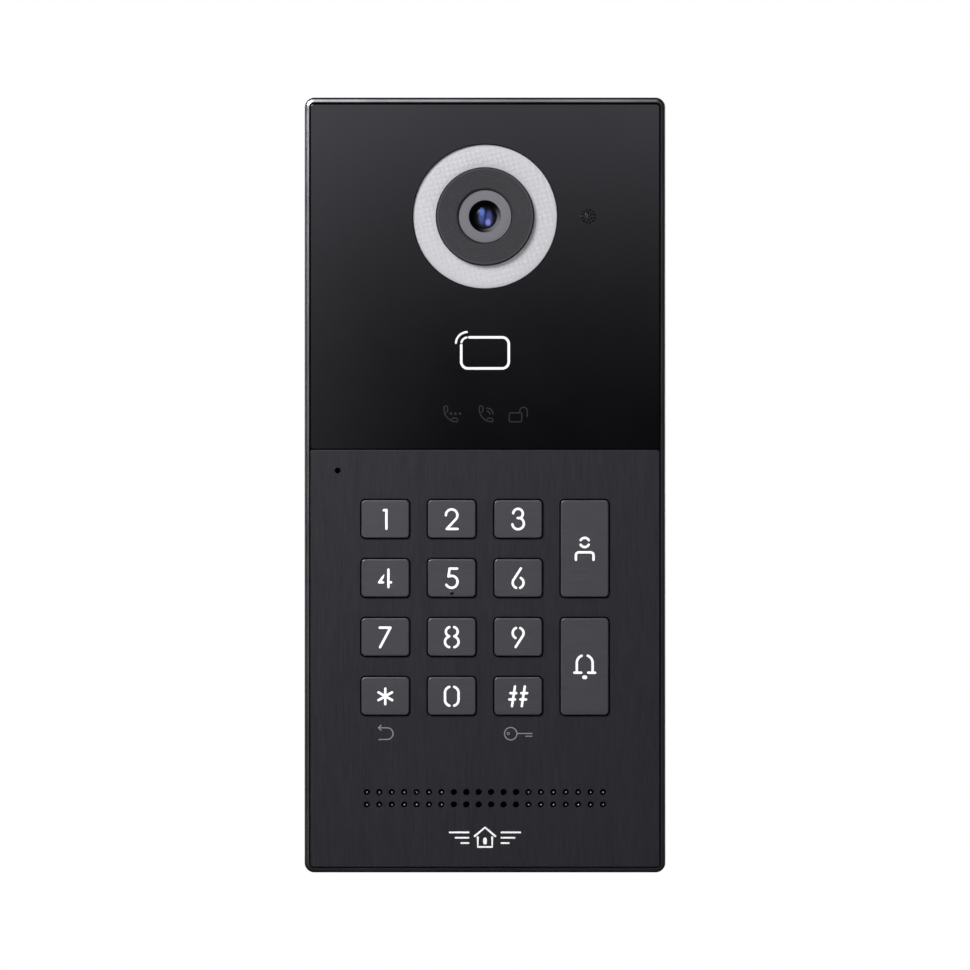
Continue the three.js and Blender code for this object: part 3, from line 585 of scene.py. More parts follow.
def shade_between(tree, mask, low, high, target):
    """Feeds a shader socket with a value or colour that follows a mask."""
    if isinstance(low, tuple):
        tree.links.new(mix_colours(tree, mask, low, high), target)
        return
    spread = new_node(tree, "ShaderNodeMapRange", {"Value": mask, "To Min": low, "To Max": high})
    tree.links.new(spread.outputs["Result"], target)


def raise_bumps(tree, mask, principled, distance):
    """Turns a mask into fine relief of a real height."""
    bump = new_node(tree, "ShaderNodeBump", {"Height": mask, "Distance": distance, "Strength": 1.0})
    tree.links.new(bump.outputs["Normal"], principled.inputs["Normal"])


def srgb(red, green, blue):
    """A colour given as it looks on a screen, from 0 to 255."""
    def linear(value):
        value /= 255
        return value / 12.92 if value <= 0.04045 else ((value + 0.055) / 1.055) ** 2.4
    return linear(red), linear(green), linear(blue), 1.0


def scaled(colour, by):
    """A colour made lighter or darker."""
    return tuple(min(c * by, 1.0) for c in colour[:3]) + (1.0,)


def brushed_metal(
        name, colour, stretch, roughness, contrast=0.1, metallic=0.85, relief=0.004 * MM, bands=0.35):
    """Metal brushed along one direction."""
    material, tree, principled = start_material(name, Metallic=metallic)
    lines = place_group(tree, "Brushed Lines", {"Stretch": stretch, "Bands": bands})
    mask = lines.outputs["Mask"]
    dark, light = scaled(colour, 1 - contrast), scaled(colour, 1 + contrast)
    shade_between(tree, mask, dark, light, principled.inputs["Base Color"])
    shade_between(tree, mask, roughness[0], roughness[1], principled.inputs["Roughness"])
    raise_bumps(tree, mask, principled, relief)
    return material


def grained(
        name, colour, roughness, grain=0.2 * MM, contrast=0.06, metallic=0.0, relief=0.006 * MM, **shader):
    """A cast, blasted or moulded surface with fine grain."""
    material, tree, principled = start_material(name, Metallic=metallic, **shader)
    surface = place_group(tree, "Fine Grain", {"Grain Size": grain})
    blotch = surface.outputs["Blotch"]
    dark, light = scaled(colour, 1 - contrast), scaled(colour, 1 + contrast)
    shade_between(tree, blotch, dark, light, principled.inputs["Base Color"])
    shade_between(tree, blotch, roughness[0], roughness[1], principled.inputs["Roughness"])
    raise_bumps(tree, surface.outputs["Grain"], principled, relief)
    return material


# ------------------------------------------------------------------ materials
MATERIALS = {}


def finish(name):
    """The named finish, built the first time that a piece asks for it."""
    if name not in MATERIALS:
        MATERIALS[name] = FINISHES[name]()
    return MATERIALS[name]


CARD_SIZE = (0.4, 0.44)  # metres
CARD_FALLOFF = 2.2
CARD_TOP = 1.72
CARD_BOTTOM = 0.01
CARD_SIDE = 0.78
CARD_SIDE_START = 0.02  # metres right of the card's middle
CARD_TINT = (1.0, 0.97, 1.1, 1.0)


def reflection_card_finish():
    """Light that is strongest at the card's upper left and fades downwards and to the right."""
    material = bpy.data.materials.new("fading soft light")
    material.use_nodes = True
    tree = material.node_tree
    tree.nodes.clear()
    where = new_node(tree, "ShaderNodeTexCoord")
    parts = new_node(tree, "ShaderNodeSeparateXYZ", {0: where.outputs["Object"]})
    rise = new_node(tree, "ShaderNodeMapRange", {
        "Value": parts.outputs["Z"], "From Min": 0.0, "From Max": CARD_SIZE[1] / 2})
    curve = new_node(tree, "ShaderNodeMath", {0: rise.outputs["Result"], 1: CARD_FALLOFF}, operation="POWER")
    height = new_node(tree, "ShaderNodeMath", {
        0: curve.outputs[0], 1: CARD_TOP, 2: CARD_BOTTOM}, operation="MULTIPLY_ADD")
    side = new_node(tree, "ShaderNodeMapRange", {
        "Value": parts.outputs["X"], "From Min": CARD_SIDE_START, "From Max": -CARD_SIZE[0] / 2,
        "To Min": 0.0, "To Max": CARD_SIDE}, interpolation_type="SMOOTHERSTEP")
    total = new_node(tree, "ShaderNodeMath", {
        0: height.outputs[0], 1: side.outputs["Result"]}, operation="ADD")
    light = new_node(tree, "ShaderNodeEmission", {"Color": CARD_TINT, "Strength": total.outputs[0]})
    new_node(tree, "ShaderNodeOutputMaterial", {"Surface": light.outputs[0]})
    return material


def black_glass():
    """Toughened glass with black print on its back."""
    material, tree, principled = start_material("black glass", IOR=1.5)
    blotch = place_group(tree, "Fine Grain", {"Blotch Size": 26 * MM}).outputs["Blotch"]
    shade_between(tree, blotch, srgb(4, 4, 5), srgb(6, 6, 7), principled.inputs["Base Color"])
    shade_between(tree, blotch, 0.07, 0.1, principled.inputs["Roughness"])
    return material


FINISHES = {
    "frame metal": lambda: grained(
        "black anodised casting", srgb(38, 38, 40), (0.32, 0.38), 0.12 * MM, 0.05, 0.6, 0.002 * MM),
    "bead metal": lambda: grained(
        "polished bead", srgb(160, 159, 165), (0.31, 0.36), 0.12 * MM, 0.04, 1.0, 0.001 * MM),
    "brushed plate": lambda: brushed_metal(
        "black brushed plate", srgb(75, 74, 80), (2600, 2600, 150), (0.37, 0.44), 0.13, bands=0.15),
    "black glass": black_glass,
    "key metal": lambda: brushed_metal(
        "dark brushed key", srgb(102, 101, 107), (150, 2600, 3400), (0.42, 0.5), 0.08, 0.8, bands=0.15),
    "legend": lambda: grained(
        "white light guide", srgb(243, 243, 246), (0.4, 0.5), 0.3 * MM, 0.01, relief=0.001 * MM,
        Emission_Color=(1, 1, 1, 1), Emission_Strength=0.1),
    "carrier": lambda: grained("black carrier", srgb(24, 24, 25), (0.5, 0.6)),
    "diffuser": lambda: grained(
        "frosted white lens", srgb(185, 184, 189), (0.45, 0.55), 0.3 * MM, 0.02, relief=0.002 * MM),
    "hood": lambda: grained("dark hood plastic", srgb(51, 50, 55), (0.5, 0.58), 0.15 * MM, 0.04),
    "lens ring": lambda: grained(
        "blasted grey metal", srgb(112, 111, 117), (0.55, 0.65), 0.1 * MM, 0.03, 0.2, 0.003 * MM),
    # painted glint in the closed sound holes
    "painted glint pip": lambda: grained("painted glint pip", srgb(172, 172, 176), (0.3, 0.4), metallic=0.4),
    # painted glints at the light sensor
    "speck": lambda: grained("grey painted glint", srgb(120, 119, 124), (0.3, 0.4), 0.1 * MM, 0.02),
    # painted shade in the closed sound holes
    "painted shade black": lambda: grained("matt black painted shade", srgb(5, 5, 5), (0.9, 0.95), Specular_IOR_Level=0.1),
    "black plastic": lambda: grained("black moulded plastic", srgb(22, 22, 23), (0.4, 0.5)),
    "housing plastic": lambda: grained(
        "grained housing plastic", srgb(46, 46, 48), (0.55, 0.66), 0.35 * MM, 0.06, relief=0.02 * MM),
    "rubber": lambda: grained("black rubber", srgb(26, 26, 27), (0.75, 0.85), 0.4 * MM),
    "bracket steel": lambda: grained(
        "zinc plated sheet", srgb(186, 188, 193), (0.36, 0.46), 0.3 * MM, 0.05, 0.65, 0.003 * MM),
    "screw steel": lambda: grained(
        "plated screw steel", srgb(182, 184, 188), (0.28, 0.38), 0.1 * MM, 0.05, 0.6, 0.002 * MM),
    "circuit board": lambda: grained("green solder mask", srgb(22, 74, 48), (0.3, 0.4), 0.25 * MM, 0.08),
    "clear plastic": lambda: grained("clear moulding", srgb(214, 218, 222), (0.15, 0.25), 0.3 * MM, 0.02),
    "terminal plastic": lambda: grained("green terminal plastic", srgb(40, 118, 66), (0.4, 0.5)),
    "contact gold": lambda: grained("gold plated contact", srgb(232, 188, 98), (0.3, 0.4), metallic=0.5),
    "white plastic": lambda: grained("white connector plastic", srgb(222, 220, 212), (0.4, 0.5)),
    "chip": lambda: grained("black chip body", srgb(30, 30, 32), (0.5, 0.6), 0.1 * MM),
    "tape": lambda: grained("grey foam tape", srgb(70, 70, 72), (0.8, 0.9), 0.3 * MM),
    "cone": lambda: grained("black paper cone", srgb(20, 20, 21), (0.8, 0.9), 0.3 * MM, 0.15),
    "print white": lambda: grained("white screen print", srgb(240, 240, 242), (0.4, 0.5), relief=0.001 * MM),
    "print grey": lambda: grained("grey screen print", srgb(120, 120, 126), (0.5, 0.6), relief=0.001 * MM),
    "print faint": lambda: grained("faint screen print", srgb(34, 34, 36), (0.35, 0.45), relief=0.001 * MM),
    "dark dot": lambda: grained("black dot print", srgb(4, 4, 4), (0.3, 0.4), relief=0.001 * MM),
}


def lens_well():
    """Painted shade and light: black at the cone's upper left, fading to grey metal at its lower right, where
    the cone turns to the light.
    """
    material, tree, principled = start_material("lens well painted light", Roughness=0.6, Specular_IOR_Level=0.1)
    # The soft spot at the lower right is a painted lit side; the black round it is painted shade.
    spot = place_group(tree, "Soft Spot", {
        "Centre": (CAMERA_X + 3.4 * MM, LENS_AXIS.y, CAMERA_Z - 2.3 * MM),
        "Half Size": (5.2 * MM, 1.0, 5.2 * MM), "Core": 0.15})
    surface = place_group(tree, "Fine Grain", {"Grain Size": 0.1 * MM})
    lit_side_grey = mix_colours(tree, surface.outputs["Blotch"], srgb(104, 103, 107), srgb(112, 111, 115))
    painted = mix_colours(tree, spot.outputs["Mask"], srgb(10, 10, 10), lit_side_grey)
    tree.links.new(painted, principled.inputs["Base Color"])
    return material


def glowing_lens_painted_reflections():
    """A dark lens that glows with two soft upright blue gleams, painted reflections in its emission colour.
    """
    material, tree, principled = start_material(
        "blue lens painted reflections", Specular_IOR_Level=0.15, Coat_Weight=0.1, Coat_Roughness=0.2,
        Emission_Strength=0.85)
    colour = srgb(7, 7, 9)
    for x, z, half_x, half_z, core, tint in PAINTED_LENS_REFLECTIONS:
        spot = place_group(tree, "Soft Spot", {
            "Centre": (CAMERA_X + x * MM, LENS_AXIS.y, CAMERA_Z + z * MM),
            "Half Size": (half_x * MM, 1.0, half_z * MM), "Core": core})
        colour = mix_colours(tree, spot.outputs["Mask"], colour, tint)
    # The painted reflections feed the emission, so the lens glows with them.
    tree.links.new(colour, principled.inputs["Emission Color"])
    blotch = place_group(tree, "Fine Grain", {"Blotch Size": 2 * MM}).outputs["Blotch"]
    shade_between(tree, blotch, srgb(9, 9, 12), srgb(12, 12, 18), principled.inputs["Base Color"])
    shade_between(tree, blotch, 0.2, 0.26, principled.inputs["Roughness"])
    return material


# Each painted reflection: place across and up from the lens's axis, half sizes, hard share of it, colour.
PAINTED_LENS_REFLECTIONS = (
    (0.2, -0.7, 2.6, 2.4, 0.0, srgb(70, 70, 82)),
    (0.0, 0.1, 2.1, 2.6, 0.0, srgb(26, 34, 78)),
    (-0.85, 0.1, 0.98, 2.5, 0.35, srgb(66, 86, 150)),
    (-0.75, 1.15, 0.95, 1.35, 0.3, srgb(96, 122, 204)),
    (1.0, -0.2, 1.0, 2.3, 0.3, srgb(74, 80, 142)),
    (0.75, -1.35, 0.95, 1.15, 0.3, srgb(134, 142, 228)),
    (0.02, 0.1, 0.16, 2.1, 0.0, srgb(34, 46, 92)),
)
FINISHES["front lens"] = glowing_lens_painted_reflections
FINISHES["well"] = lens_well


# ------------------------------------------------------------------ settings
class DoorPanelStage(bpy.types.PropertyGroup):
    """Camera, lights and floor."""

    view_size: bpy.props.FloatProperty(
        name="View Size", description="Height of the space that the camera sees at the panel",
        default=236.5 * MM, unit="LENGTH")
    camera_distance: bpy.props.FloatProperty(
        name="Camera Distance", description="From the camera to the panel's face", default=1.6, unit="LENGTH")
    floor_drop: bpy.props.FloatProperty(
        name="Floor Drop", description="How far the floor lies below the wall fixing's centre", default=0.25,
        unit="LENGTH")
    key_power: bpy.props.FloatProperty(
        name="Key Light", description="Power of the main soft light", default=4.1)
    side_power: bpy.props.FloatProperty(
        name="Side Lights", description="Power of the lights beside and behind the panel", default=5.0)
    back_power: bpy.props.FloatProperty(
        name="Back Light", description="Power of the light behind", default=15.0)


class DoorPanelFace(bpy.types.PropertyGroup):
    """Frame, plate, glass and keys."""

    frame_corner: bpy.props.FloatProperty(
        name="Frame Corner", description="Radius of the frame's corners", default=2.4 * MM, unit="LENGTH")
    plate_edge: bpy.props.FloatProperty(
        name="Panel Edge", description="Rounding of the plate's and the glass's edges", default=0.18 * MM,
        unit="LENGTH")
    key_edge: bpy.props.FloatProperty(
        name="Key Edge", description="Rounding of each key's front edge", default=0.3 * MM, unit="LENGTH")
    key_corner: bpy.props.FloatProperty(
        name="Key Corner", description="Radius of each key's corners", default=1.0 * MM, unit="LENGTH")
    key_gap: bpy.props.FloatProperty(
        name="Key Gap", description="Space between a key and its opening", default=0.29 * MM, unit="LENGTH")


# ------------------------------------------------------------------ operators
class PanelOperator:
    """What every modelling step of the panel shares."""

    bl_options = {"REGISTER", "UNDO"}


def aim(obj, target):
    """Turns a light or camera towards a point."""
    obj.rotation_euler = (Vector(target) - obj.location).to_track_quat("-Z", "Y").to_euler()


def soft_light(name, place, size, power, target=(0, 0, 0)):
    """A square soft light that the camera doesn't see."""
    lamp = bpy.data.lights.new(name, "AREA")
    lamp.shape = "RECTANGLE"
    lamp.size = lamp.size_y = size
    lamp.energy = power
    obj = bpy.data.objects.new(name, lamp)
    obj.location = place
    obj.visible_camera = False
    bpy.context.scene.collection.objects.link(obj)
    aim(obj, target)


class DOORPANEL_OT_stage(PanelOperator, bpy.types.Operator):
    """Adds the camera, the lights, the white surroundings and the floor"""

    bl_idname = "door_panel.stage"
    bl_label = "Stage"

    # Each light: name, place and size in metres, its setting and its share of that setting's power.
    LIGHTS = (
        ("side light left", (-1.1, 0.5, 0.15), 0.5, "side_power", 1.0),
        ("side light right", (1.1, 0.5, 0.15), 0.5, "side_power", 1.0),
        ("back light left", (-0.9, 1.1, 0.7), 1.2, "back_power", 1.0),
        ("back light right", (0.9, 1.1, 0.5), 1.2, "back_power", 0.7),
    )
    KEY_PLACE, KEY_SIZE, KEY_TARGET = (-0.28, -0.46, 0.37), 0.24, (0, -0.03, 0.02)
    GLOSS_LIGHT, FILL_LIGHT = 0.03, 0.3  # strength of the surroundings in gloss and elsewhere
    FLOOR_RADIUS = 1.5

    def execute(self, context):
        settings = context.scene.door_panel_stage
        scene = context.scene
        scene.view_settings.view_transform = "Standard"
        scene.view_settings.look = "None"
        self.add_camera(scene, settings)
        self.add_surroundings(scene)
        self.add_floor(settings)
        self.add_reflection_card(settings)
        soft_light("key light", self.KEY_PLACE, self.KEY_SIZE, settings.key_power, self.KEY_TARGET)
        for name, place, size, power, share in self.LIGHTS:
            soft_light(name, place, size, getattr(settings, power) * share)
        return {"FINISHED"}

    def add_reflection_card(self, settings):
        """A fading light beside the camera that only shows in gloss."""
        bm = bmesh.new()
        shape = Matrix.Diagonal((CARD_SIZE[0], 1, CARD_SIZE[1], 1)) @ Matrix.Rotation(math.pi / 2, 4, "X")
        bmesh.ops.create_grid(bm, x_segments=1, y_segments=1, size=0.5, matrix=shape)
        mesh = bpy.data.meshes.new("reflection_card")
        bm.to_mesh(mesh)
        bm.free()
        mesh.materials.append(reflection_card_finish())
        card = bpy.data.objects.new("reflection_card", mesh)
        card.location = (0, node_box("glass_window")[2] - settings.camera_distance + 0.02, 0)
        card.visible_camera = False
        card.visible_diffuse = False
        card.visible_shadow = False
        card.visible_transmission = False
        bpy.context.scene.collection.objects.link(card)

    def add_camera(self, scene, settings):
        lens = bpy.data.cameras.new("camera")
        lens.sensor_width = 36
        lens.lens = lens.sensor_width * settings.camera_distance / settings.view_size
        lens.clip_start = 0.05
        eye = bpy.data.objects.new("camera", lens)
        face = node_box("glass_window")[2]
        eye.location = (0, face - settings.camera_distance, 0)
        scene.collection.objects.link(eye)
        aim(eye, (0, 0, 0))
        scene.camera = eye

    def add_surroundings(self, scene):
        world = bpy.data.worlds.new("white surroundings")
        scene.world = world
        world.use_nodes = True
        tree = world.node_tree
        tree.nodes.clear()
        rays = new_node(tree, "ShaderNodeLightPath")
        white, soft, dim = (
            new_node(tree, "ShaderNodeBackground", {"Color": (1, 1, 1, 1), "Strength": strength})
            for strength in (1.0, self.FILL_LIGHT, self.GLOSS_LIGHT))
        unlit = new_node(tree, "ShaderNodeMixShader", {
            "Fac": rays.outputs["Is Glossy Ray"], 1: soft.outputs[0], 2: dim.outputs[0]})
        choose = new_node(tree, "ShaderNodeMixShader", {
            "Fac": rays.outputs["Is Camera Ray"], 1: unlit.outputs[0], 2: white.outputs[0]})
        new_node(tree, "ShaderNodeOutputWorld", {"Surface": choose.outputs[0]})

    def add_floor(self, settings):
        bm = bmesh.new()
        place = Matrix.Translation((0, 0, -settings.floor_drop))
        bmesh.ops.create_circle(bm, cap_ends=True, segments=96, radius=self.FLOOR_RADIUS, matrix=place)
        mesh = bpy.data.meshes.new("floor")
        bm.to_mesh(mesh)
        bm.free()
        floor = bpy.data.objects.new("floor", mesh)
        bpy.context.scene.collection.objects.link(floor)
        material = start_material("pale floor", Roughness=0.9, Base_Color=(0.93, 0.93, 0.93, 1))[0]
        mesh.materials.append(material)
        floor.visible_glossy = False


def face_pocket():
    """Left, right, bottom and top of the pocket that holds the glass and the plate."""
    left, right, _, _, bottom, _ = node_box("brushed_plate")
    top = node_box("glass_window")[5]
    fit = 0.15 * MM
    return left - fit, right + fit, bottom - fit, top + fit


def tilted_arc(radius, start, end, steps):
    """Points of a bead's profile as (moved in, moved back) from its start; angles are its tilt outwards."""
    tilts = [math.radians(start + (end - start) * i / steps) for i in range(steps + 1)]
    first = tilts[0]
    return [
        (radius * (math.sin(first) - math.sin(t)), radius * (math.cos(first) - math.cos(t))) for t in tilts
    ]


class DOORPANEL_OT_frame(PanelOperator, bpy.types.Operator):
    """Models the cast front frame: beaded rim, shelf, crossbar, camera web and screw bosses"""

    bl_idname = "door_panel.front_frame"
    bl_label = "Front Frame"

    STEPS = 10
    CROWN_TILTS = (26, 6)  # degrees outwards, at the bead's outer and inner edge
    OUTER_WIDTH = 0.46 * MM
    CROWN_WIDTH = 0.62 * MM
    INNER_WIDTH = 0.17 * MM
    BEAD_DROP = 0.25 * MM
    CROSSBAR = (4.6 * MM, 12.6 * MM)
    WEB_BOTTOM = 44 * MM
    BOSS_RADIUS = 3.4 * MM
    CORE_RADIUS = 1.6 * MM
    CAMERA_HOLE, SENSOR_HOLE, BOOT_HOLE = 19.8 * MM, 2.8 * MM, 3.3 * MM

    def execute(self, context):
        settings = context.scene.door_panel_face
        casting = self.shell(settings)
        webs, holes = self.webs(), self.holes()
        carve(casting, webs, "UNION")
        carve(casting, holes)
        finish_piece(casting, finish("frame metal"), STATION, ["front_frame"], smooth=30)
        self.bead(settings)
        return {"FINISHED"}

    def shelf(self):
        """Front and back of the shelf that the glass and the plate are taped to."""
        front = node_box("brushed_plate")[3] + 0.3 * MM
        return front, front + 1.6 * MM

    def shell(self, settings):
        left, right, front, back, bottom, top = node_box("front_frame")
        outside = (left, right, bottom, top)
        pocket = face_pocket()
        shelf_front, shelf_back = self.shelf()
        seal_seat = node_box("housing_seal")[2] - 0.1 * MM
        corner = settings.frame_corner
        chamfer = 0.25 * MM
        bead_front = front + self.BEAD_DROP
        bm = bmesh.new()
        rings = [(grow(outside, -chamfer), corner - chamfer, back), (outside, corner, back - chamfer)]
        outer_radius = self.OUTER_WIDTH / (1 - math.sin(math.radians(self.CROWN_TILTS[0])))
        outer = tilted_arc(outer_radius, 90, self.CROWN_TILTS[0], 6)
        for inset, dy in outer:
            rings.append((grow(outside, -inset), corner - inset, bead_front - outer[-1][1] + dy))
        inner_edge = bead_front - self.bead_rise()
        inner = ((0.0, 0.0), (0.05 * MM, 0.02 * MM), (0.1 * MM, 0.08 * MM), (self.INNER_WIDTH, 0.3 * MM))
        for inset, dy in inner:
            by = self.INNER_WIDTH - inset
            rings.append((grow(pocket, by), 0.9 * MM + by, inner_edge + dy))
        cavity = grow(outside, -4 * MM)
        seal_wall = grow(outside, -2 * MM)
        window = grow(pocket, -4.7 * MM)
        rings += [
            (pocket, 0.9 * MM, shelf_front), (window, 3 * MM, shelf_front), (window, 3 * MM, shelf_back),
            (cavity, 2 * MM, shelf_back), (cavity, 2 * MM, seal_seat), (seal_wall, 1 * MM, seal_seat),
            (seal_wall, 1 * MM, back),
        ]
        rounded_skin(bm, rings, self.STEPS, closed=True)
        return as_object("front_frame_casting", bm)

    def bead_rise(self):
        """How far the bead climbs from its outer edge to its inner edge."""
        outer, inner = (math.radians(tilt) for tilt in self.CROWN_TILTS)
        return self.CROWN_WIDTH * (math.cos(inner) - math.cos(outer)) / (math.sin(outer) - math.sin(inner))

    def bead(self, settings):
        """The bright bead that runs round the rim and leans outwards."""
        left, right, front, _, bottom, top = node_box("front_frame")
        outside = (left, right, bottom, top)
        bead_front = front + self.BEAD_DROP
        start, end = self.CROWN_TILTS
        radius = self.CROWN_WIDTH / (math.sin(math.radians(start)) - math.sin(math.radians(end)))
        proud, thick = 0.01 * MM, 0.1 * MM
        arc = tilted_arc(radius, start, end, 5)
        crown = [(self.OUTER_WIDTH + inset, bead_front + dy - proud) for inset, dy in arc]
        foot = [(inset, y + thick) for inset, y in reversed(crown)]
        rings = [(grow(outside, -inset), settings.frame_corner - inset, y) for inset, y in crown + foot]
        bm = bmesh.new()
        rounded_skin(bm, rings, self.STEPS, closed=True)
        make("polished_rim_bead", bm, finish("bead metal"), STATION, smooth=30)

    def boss_places(self):
        screws = [node_centre(name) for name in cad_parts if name.startswith("housing_screw_")]
        return [(screw.x, screw.z) for screw in screws]

    def webs(self):
        """The crossbar behind the joint, the web around the camera, and the screw bosses."""
        pocket = face_pocket()
        shelf_front, shelf_back = self.shelf()
        left, right, _, top = grow(pocket, -4 * MM)
        boss_back = node_box("rear_housing")[2] - 0.2 * MM
        bm = bmesh.new()
        brick(bm, left, right, shelf_front, shelf_back, *self.CROSSBAR)
        brick(bm, left, right, shelf_front, shelf_back, self.WEB_BOTTOM, top)
        for x, z in self.boss_places():
            rod(bm, self.BOSS_RADIUS, shelf_back - 0.5 * MM, boss_back, x, z, 32)
        return as_object("webs", bm)

    def holes(self):
        shelf_front, shelf_back = self.shelf()
        front, back = shelf_front - 1 * MM, shelf_back + 1 * MM
        sensor = node_centre("light_sensor_pipe")
        boot = node_centre("microphone_boot")
        bm = bmesh.new()
        rod(bm, self.CAMERA_HOLE, front, back, CAMERA_X, CAMERA_Z, 96)
        rod(bm, self.SENSOR_HOLE, front, back, sensor.x, sensor.z)
        rod(bm, self.BOOT_HOLE, front, back, boot.x, boot.z)
        for x, z in self.boss_places():
            rod(bm, self.CORE_RADIUS, shelf_back + 1.2 * MM, node_box("rear_housing")[2] + 1 * MM, x, z)
        return as_object("holes", bm)


def face_slab(name, node, edge):
    """A flat face panel that fills a CAD node's box."""
    left, right, front, back, bottom, top = node_box(node)
    bm = bmesh.new()
    rounded_slab(bm, (left, right, bottom, top), 0.8 * MM, front, back, edge, 0.1 * MM)
    return as_object(name, bm)


BEYOND = 0.5 * MM  # how far a cutter runs past the faces that it opens


def lipped_hole(bm, radius, lip, x, z, front, back, segments=20):
    """A cutter for a round hole with a bevelled lip."""
    turned(bm, [
        (0, front - BEYOND), (radius + lip + BEYOND, front - BEYOND), (radius, front + lip),
        (radius, back + BEYOND), (0, back + BEYOND)], x, z, segments)


class DOORPANEL_OT_plate(PanelOperator, bpy.types.Operator):
    """Models the brushed plate with its key openings, sound holes and dimples"""

    bl_idname = "door_panel.brushed_plate"
    bl_label = "Brushed Plate"

    GRILLE_COLUMNS = 20
    OPEN_COLUMNS = 6
    GRILLE_PITCH = 3.03 * MM
    HOLE_RADIUS = 0.75 * MM
    HOLE_LIP = 0.08 * MM
    MICROPHONE_HOLE = 0.7 * MM

    def execute(self, context):
        settings = context.scene.door_panel_face
        front, back = node_box("brushed_plate")[2:4]
        plate = face_slab("brushed_face_plate", "brushed_plate", settings.plate_edge)
        cutter = bmesh.new()
        for name in KEY_NAMES:
            self.key_opening(cutter, name, settings, front, back)
        for x, z in self.grille_places(closed=False) + self.grille_places(closed=True):
            lipped_hole(cutter, self.HOLE_RADIUS, self.HOLE_LIP, x, z, front, back)
        boot = node_centre("microphone_boot")
        lipped_hole(cutter, self.MICROPHONE_HOLE, self.HOLE_LIP, boot.x, boot.z, front, back)
        carve(plate, as_object("plate cutter", cutter))
        finish_piece(plate, finish("brushed plate"), STATION, ["brushed_plate"])
        self.plugs(front, back)
        return {"FINISHED"}

    def key_opening(self, bm, name, settings, front, back):
        left, right, _, _, bottom, top = node_box(f"key_{name}_cap")
        gap = settings.key_gap
        box = grow((left, right, bottom, top), gap)
        corner = settings.key_corner + gap
        lip = 0.06 * MM
        rings = [(lip + BEYOND, front - BEYOND), (lip, front), (0, front + lip), (0, back + BEYOND)]
        rounded_skin(bm, [(grow(box, by), corner + by, y) for by, y in rings])

    def grille_places(self, closed):
        """Centres of the sound holes that are open, or of those that are closed."""
        middle = node_centre("speaker_frame").z
        first_open = (self.GRILLE_COLUMNS - self.OPEN_COLUMNS) // 2
        places = []
        for column in range(self.GRILLE_COLUMNS):
            is_open = first_open <= column < first_open + self.OPEN_COLUMNS
            x = (column - (self.GRILLE_COLUMNS - 1) / 2) * self.GRILLE_PITCH
            if is_open != closed:
                places += [(x, middle + row * self.GRILLE_PITCH) for row in (-0.5, 0.5)]
        return places

    def plugs(self, front, back):
        """Matt black discs behind the closed sound holes as painted shade, each with a small bright sphere as
        a painted glint.
        """
        black, bright = bmesh.new(), bmesh.new()
        pip = 0.21 * MM
        for x, z in self.grille_places(closed=True):
            rod(black, self.HOLE_RADIUS - 0.01 * MM, front + 0.5 * MM, back - 0.1 * MM, x, z, 20)
            # The bright sphere sits a little right of and below the middle: a painted glint.
            place = Matrix.Translation((x + 0.05 * MM, front + 0.46 * MM, z - 0.05 * MM))
            bmesh.ops.create_icosphere(bright, subdivisions=2, radius=pip, matrix=place)
        make("closed_hole_painted_shade", black, finish("painted shade black"), STATION)
        make("closed_hole_painted_glints", bright, finish("painted glint pip"), STATION)


class DOORPANEL_OT_glass(PanelOperator, bpy.types.Operator):
    """Models the black glass window with its camera hole"""

    bl_idname = "door_panel.glass_window"
    bl_label = "Glass Window"

    CAMERA_HOLE = 17.66 * MM
    CAMERA_LIP = 0.07 * MM
    SENSOR_CIRCLES = ((0, 1), (0.88 * MM, 6), (1.61 * MM, 12))  # radius and number of the small holes
    # Each painted glint: place across and up from the sensor's middle and radius, in millimetres.
    GLINTS = ((-0.72, 0.48, 0.17), (-0.26, 0.1, 0.14), (-1.78, 0.13, 0.13), (-0.55, -0.28, 0.1))

    def execute(self, context):
        settings = context.scene.door_panel_face
        front, back = node_box("glass_window")[2:4]
        glass = face_slab("black_glass_window", "glass_window", settings.plate_edge)
        cutter = bmesh.new()
        lipped_hole(cutter, self.CAMERA_HOLE, self.CAMERA_LIP, CAMERA_X, CAMERA_Z, front, back, 128)
        sensor = node_centre("light_sensor_pipe")
        for radius, count in self.SENSOR_CIRCLES:
            for i in range(count):
                turn = 2 * math.pi * (i + 0.5) / count
                x, z = sensor.x + radius * math.cos(turn), sensor.z + radius * math.sin(turn)
                rod(cutter, 0.04 * MM, front - BEYOND, front + 1.3 * MM, x, z, 12, 0.32 * MM)
        carve(glass, as_object("glass cutter", cutter))
        finish_piece(glass, finish("black glass"), STATION, ["glass_window"])
        self.glints(sensor, front)
        return {"FINISHED"}

    def glints(self, sensor, front):
        """Small grey flattened spheres between the light sensor's small holes, as painted glints."""
        bm = bmesh.new()
        for x, z, radius in self.GLINTS:
            place = Matrix.Translation((sensor.x + x * MM, front + 0.05 * MM, sensor.z + z * MM))
            flat = Matrix.Diagonal((radius * MM, 0.07 * MM, radius * MM, 1))
            bmesh.ops.create_icosphere(bm, subdivisions=2, radius=1, matrix=place @ flat)
        make("light_sensor_painted_glints", bm, finish("speck"), STATION)


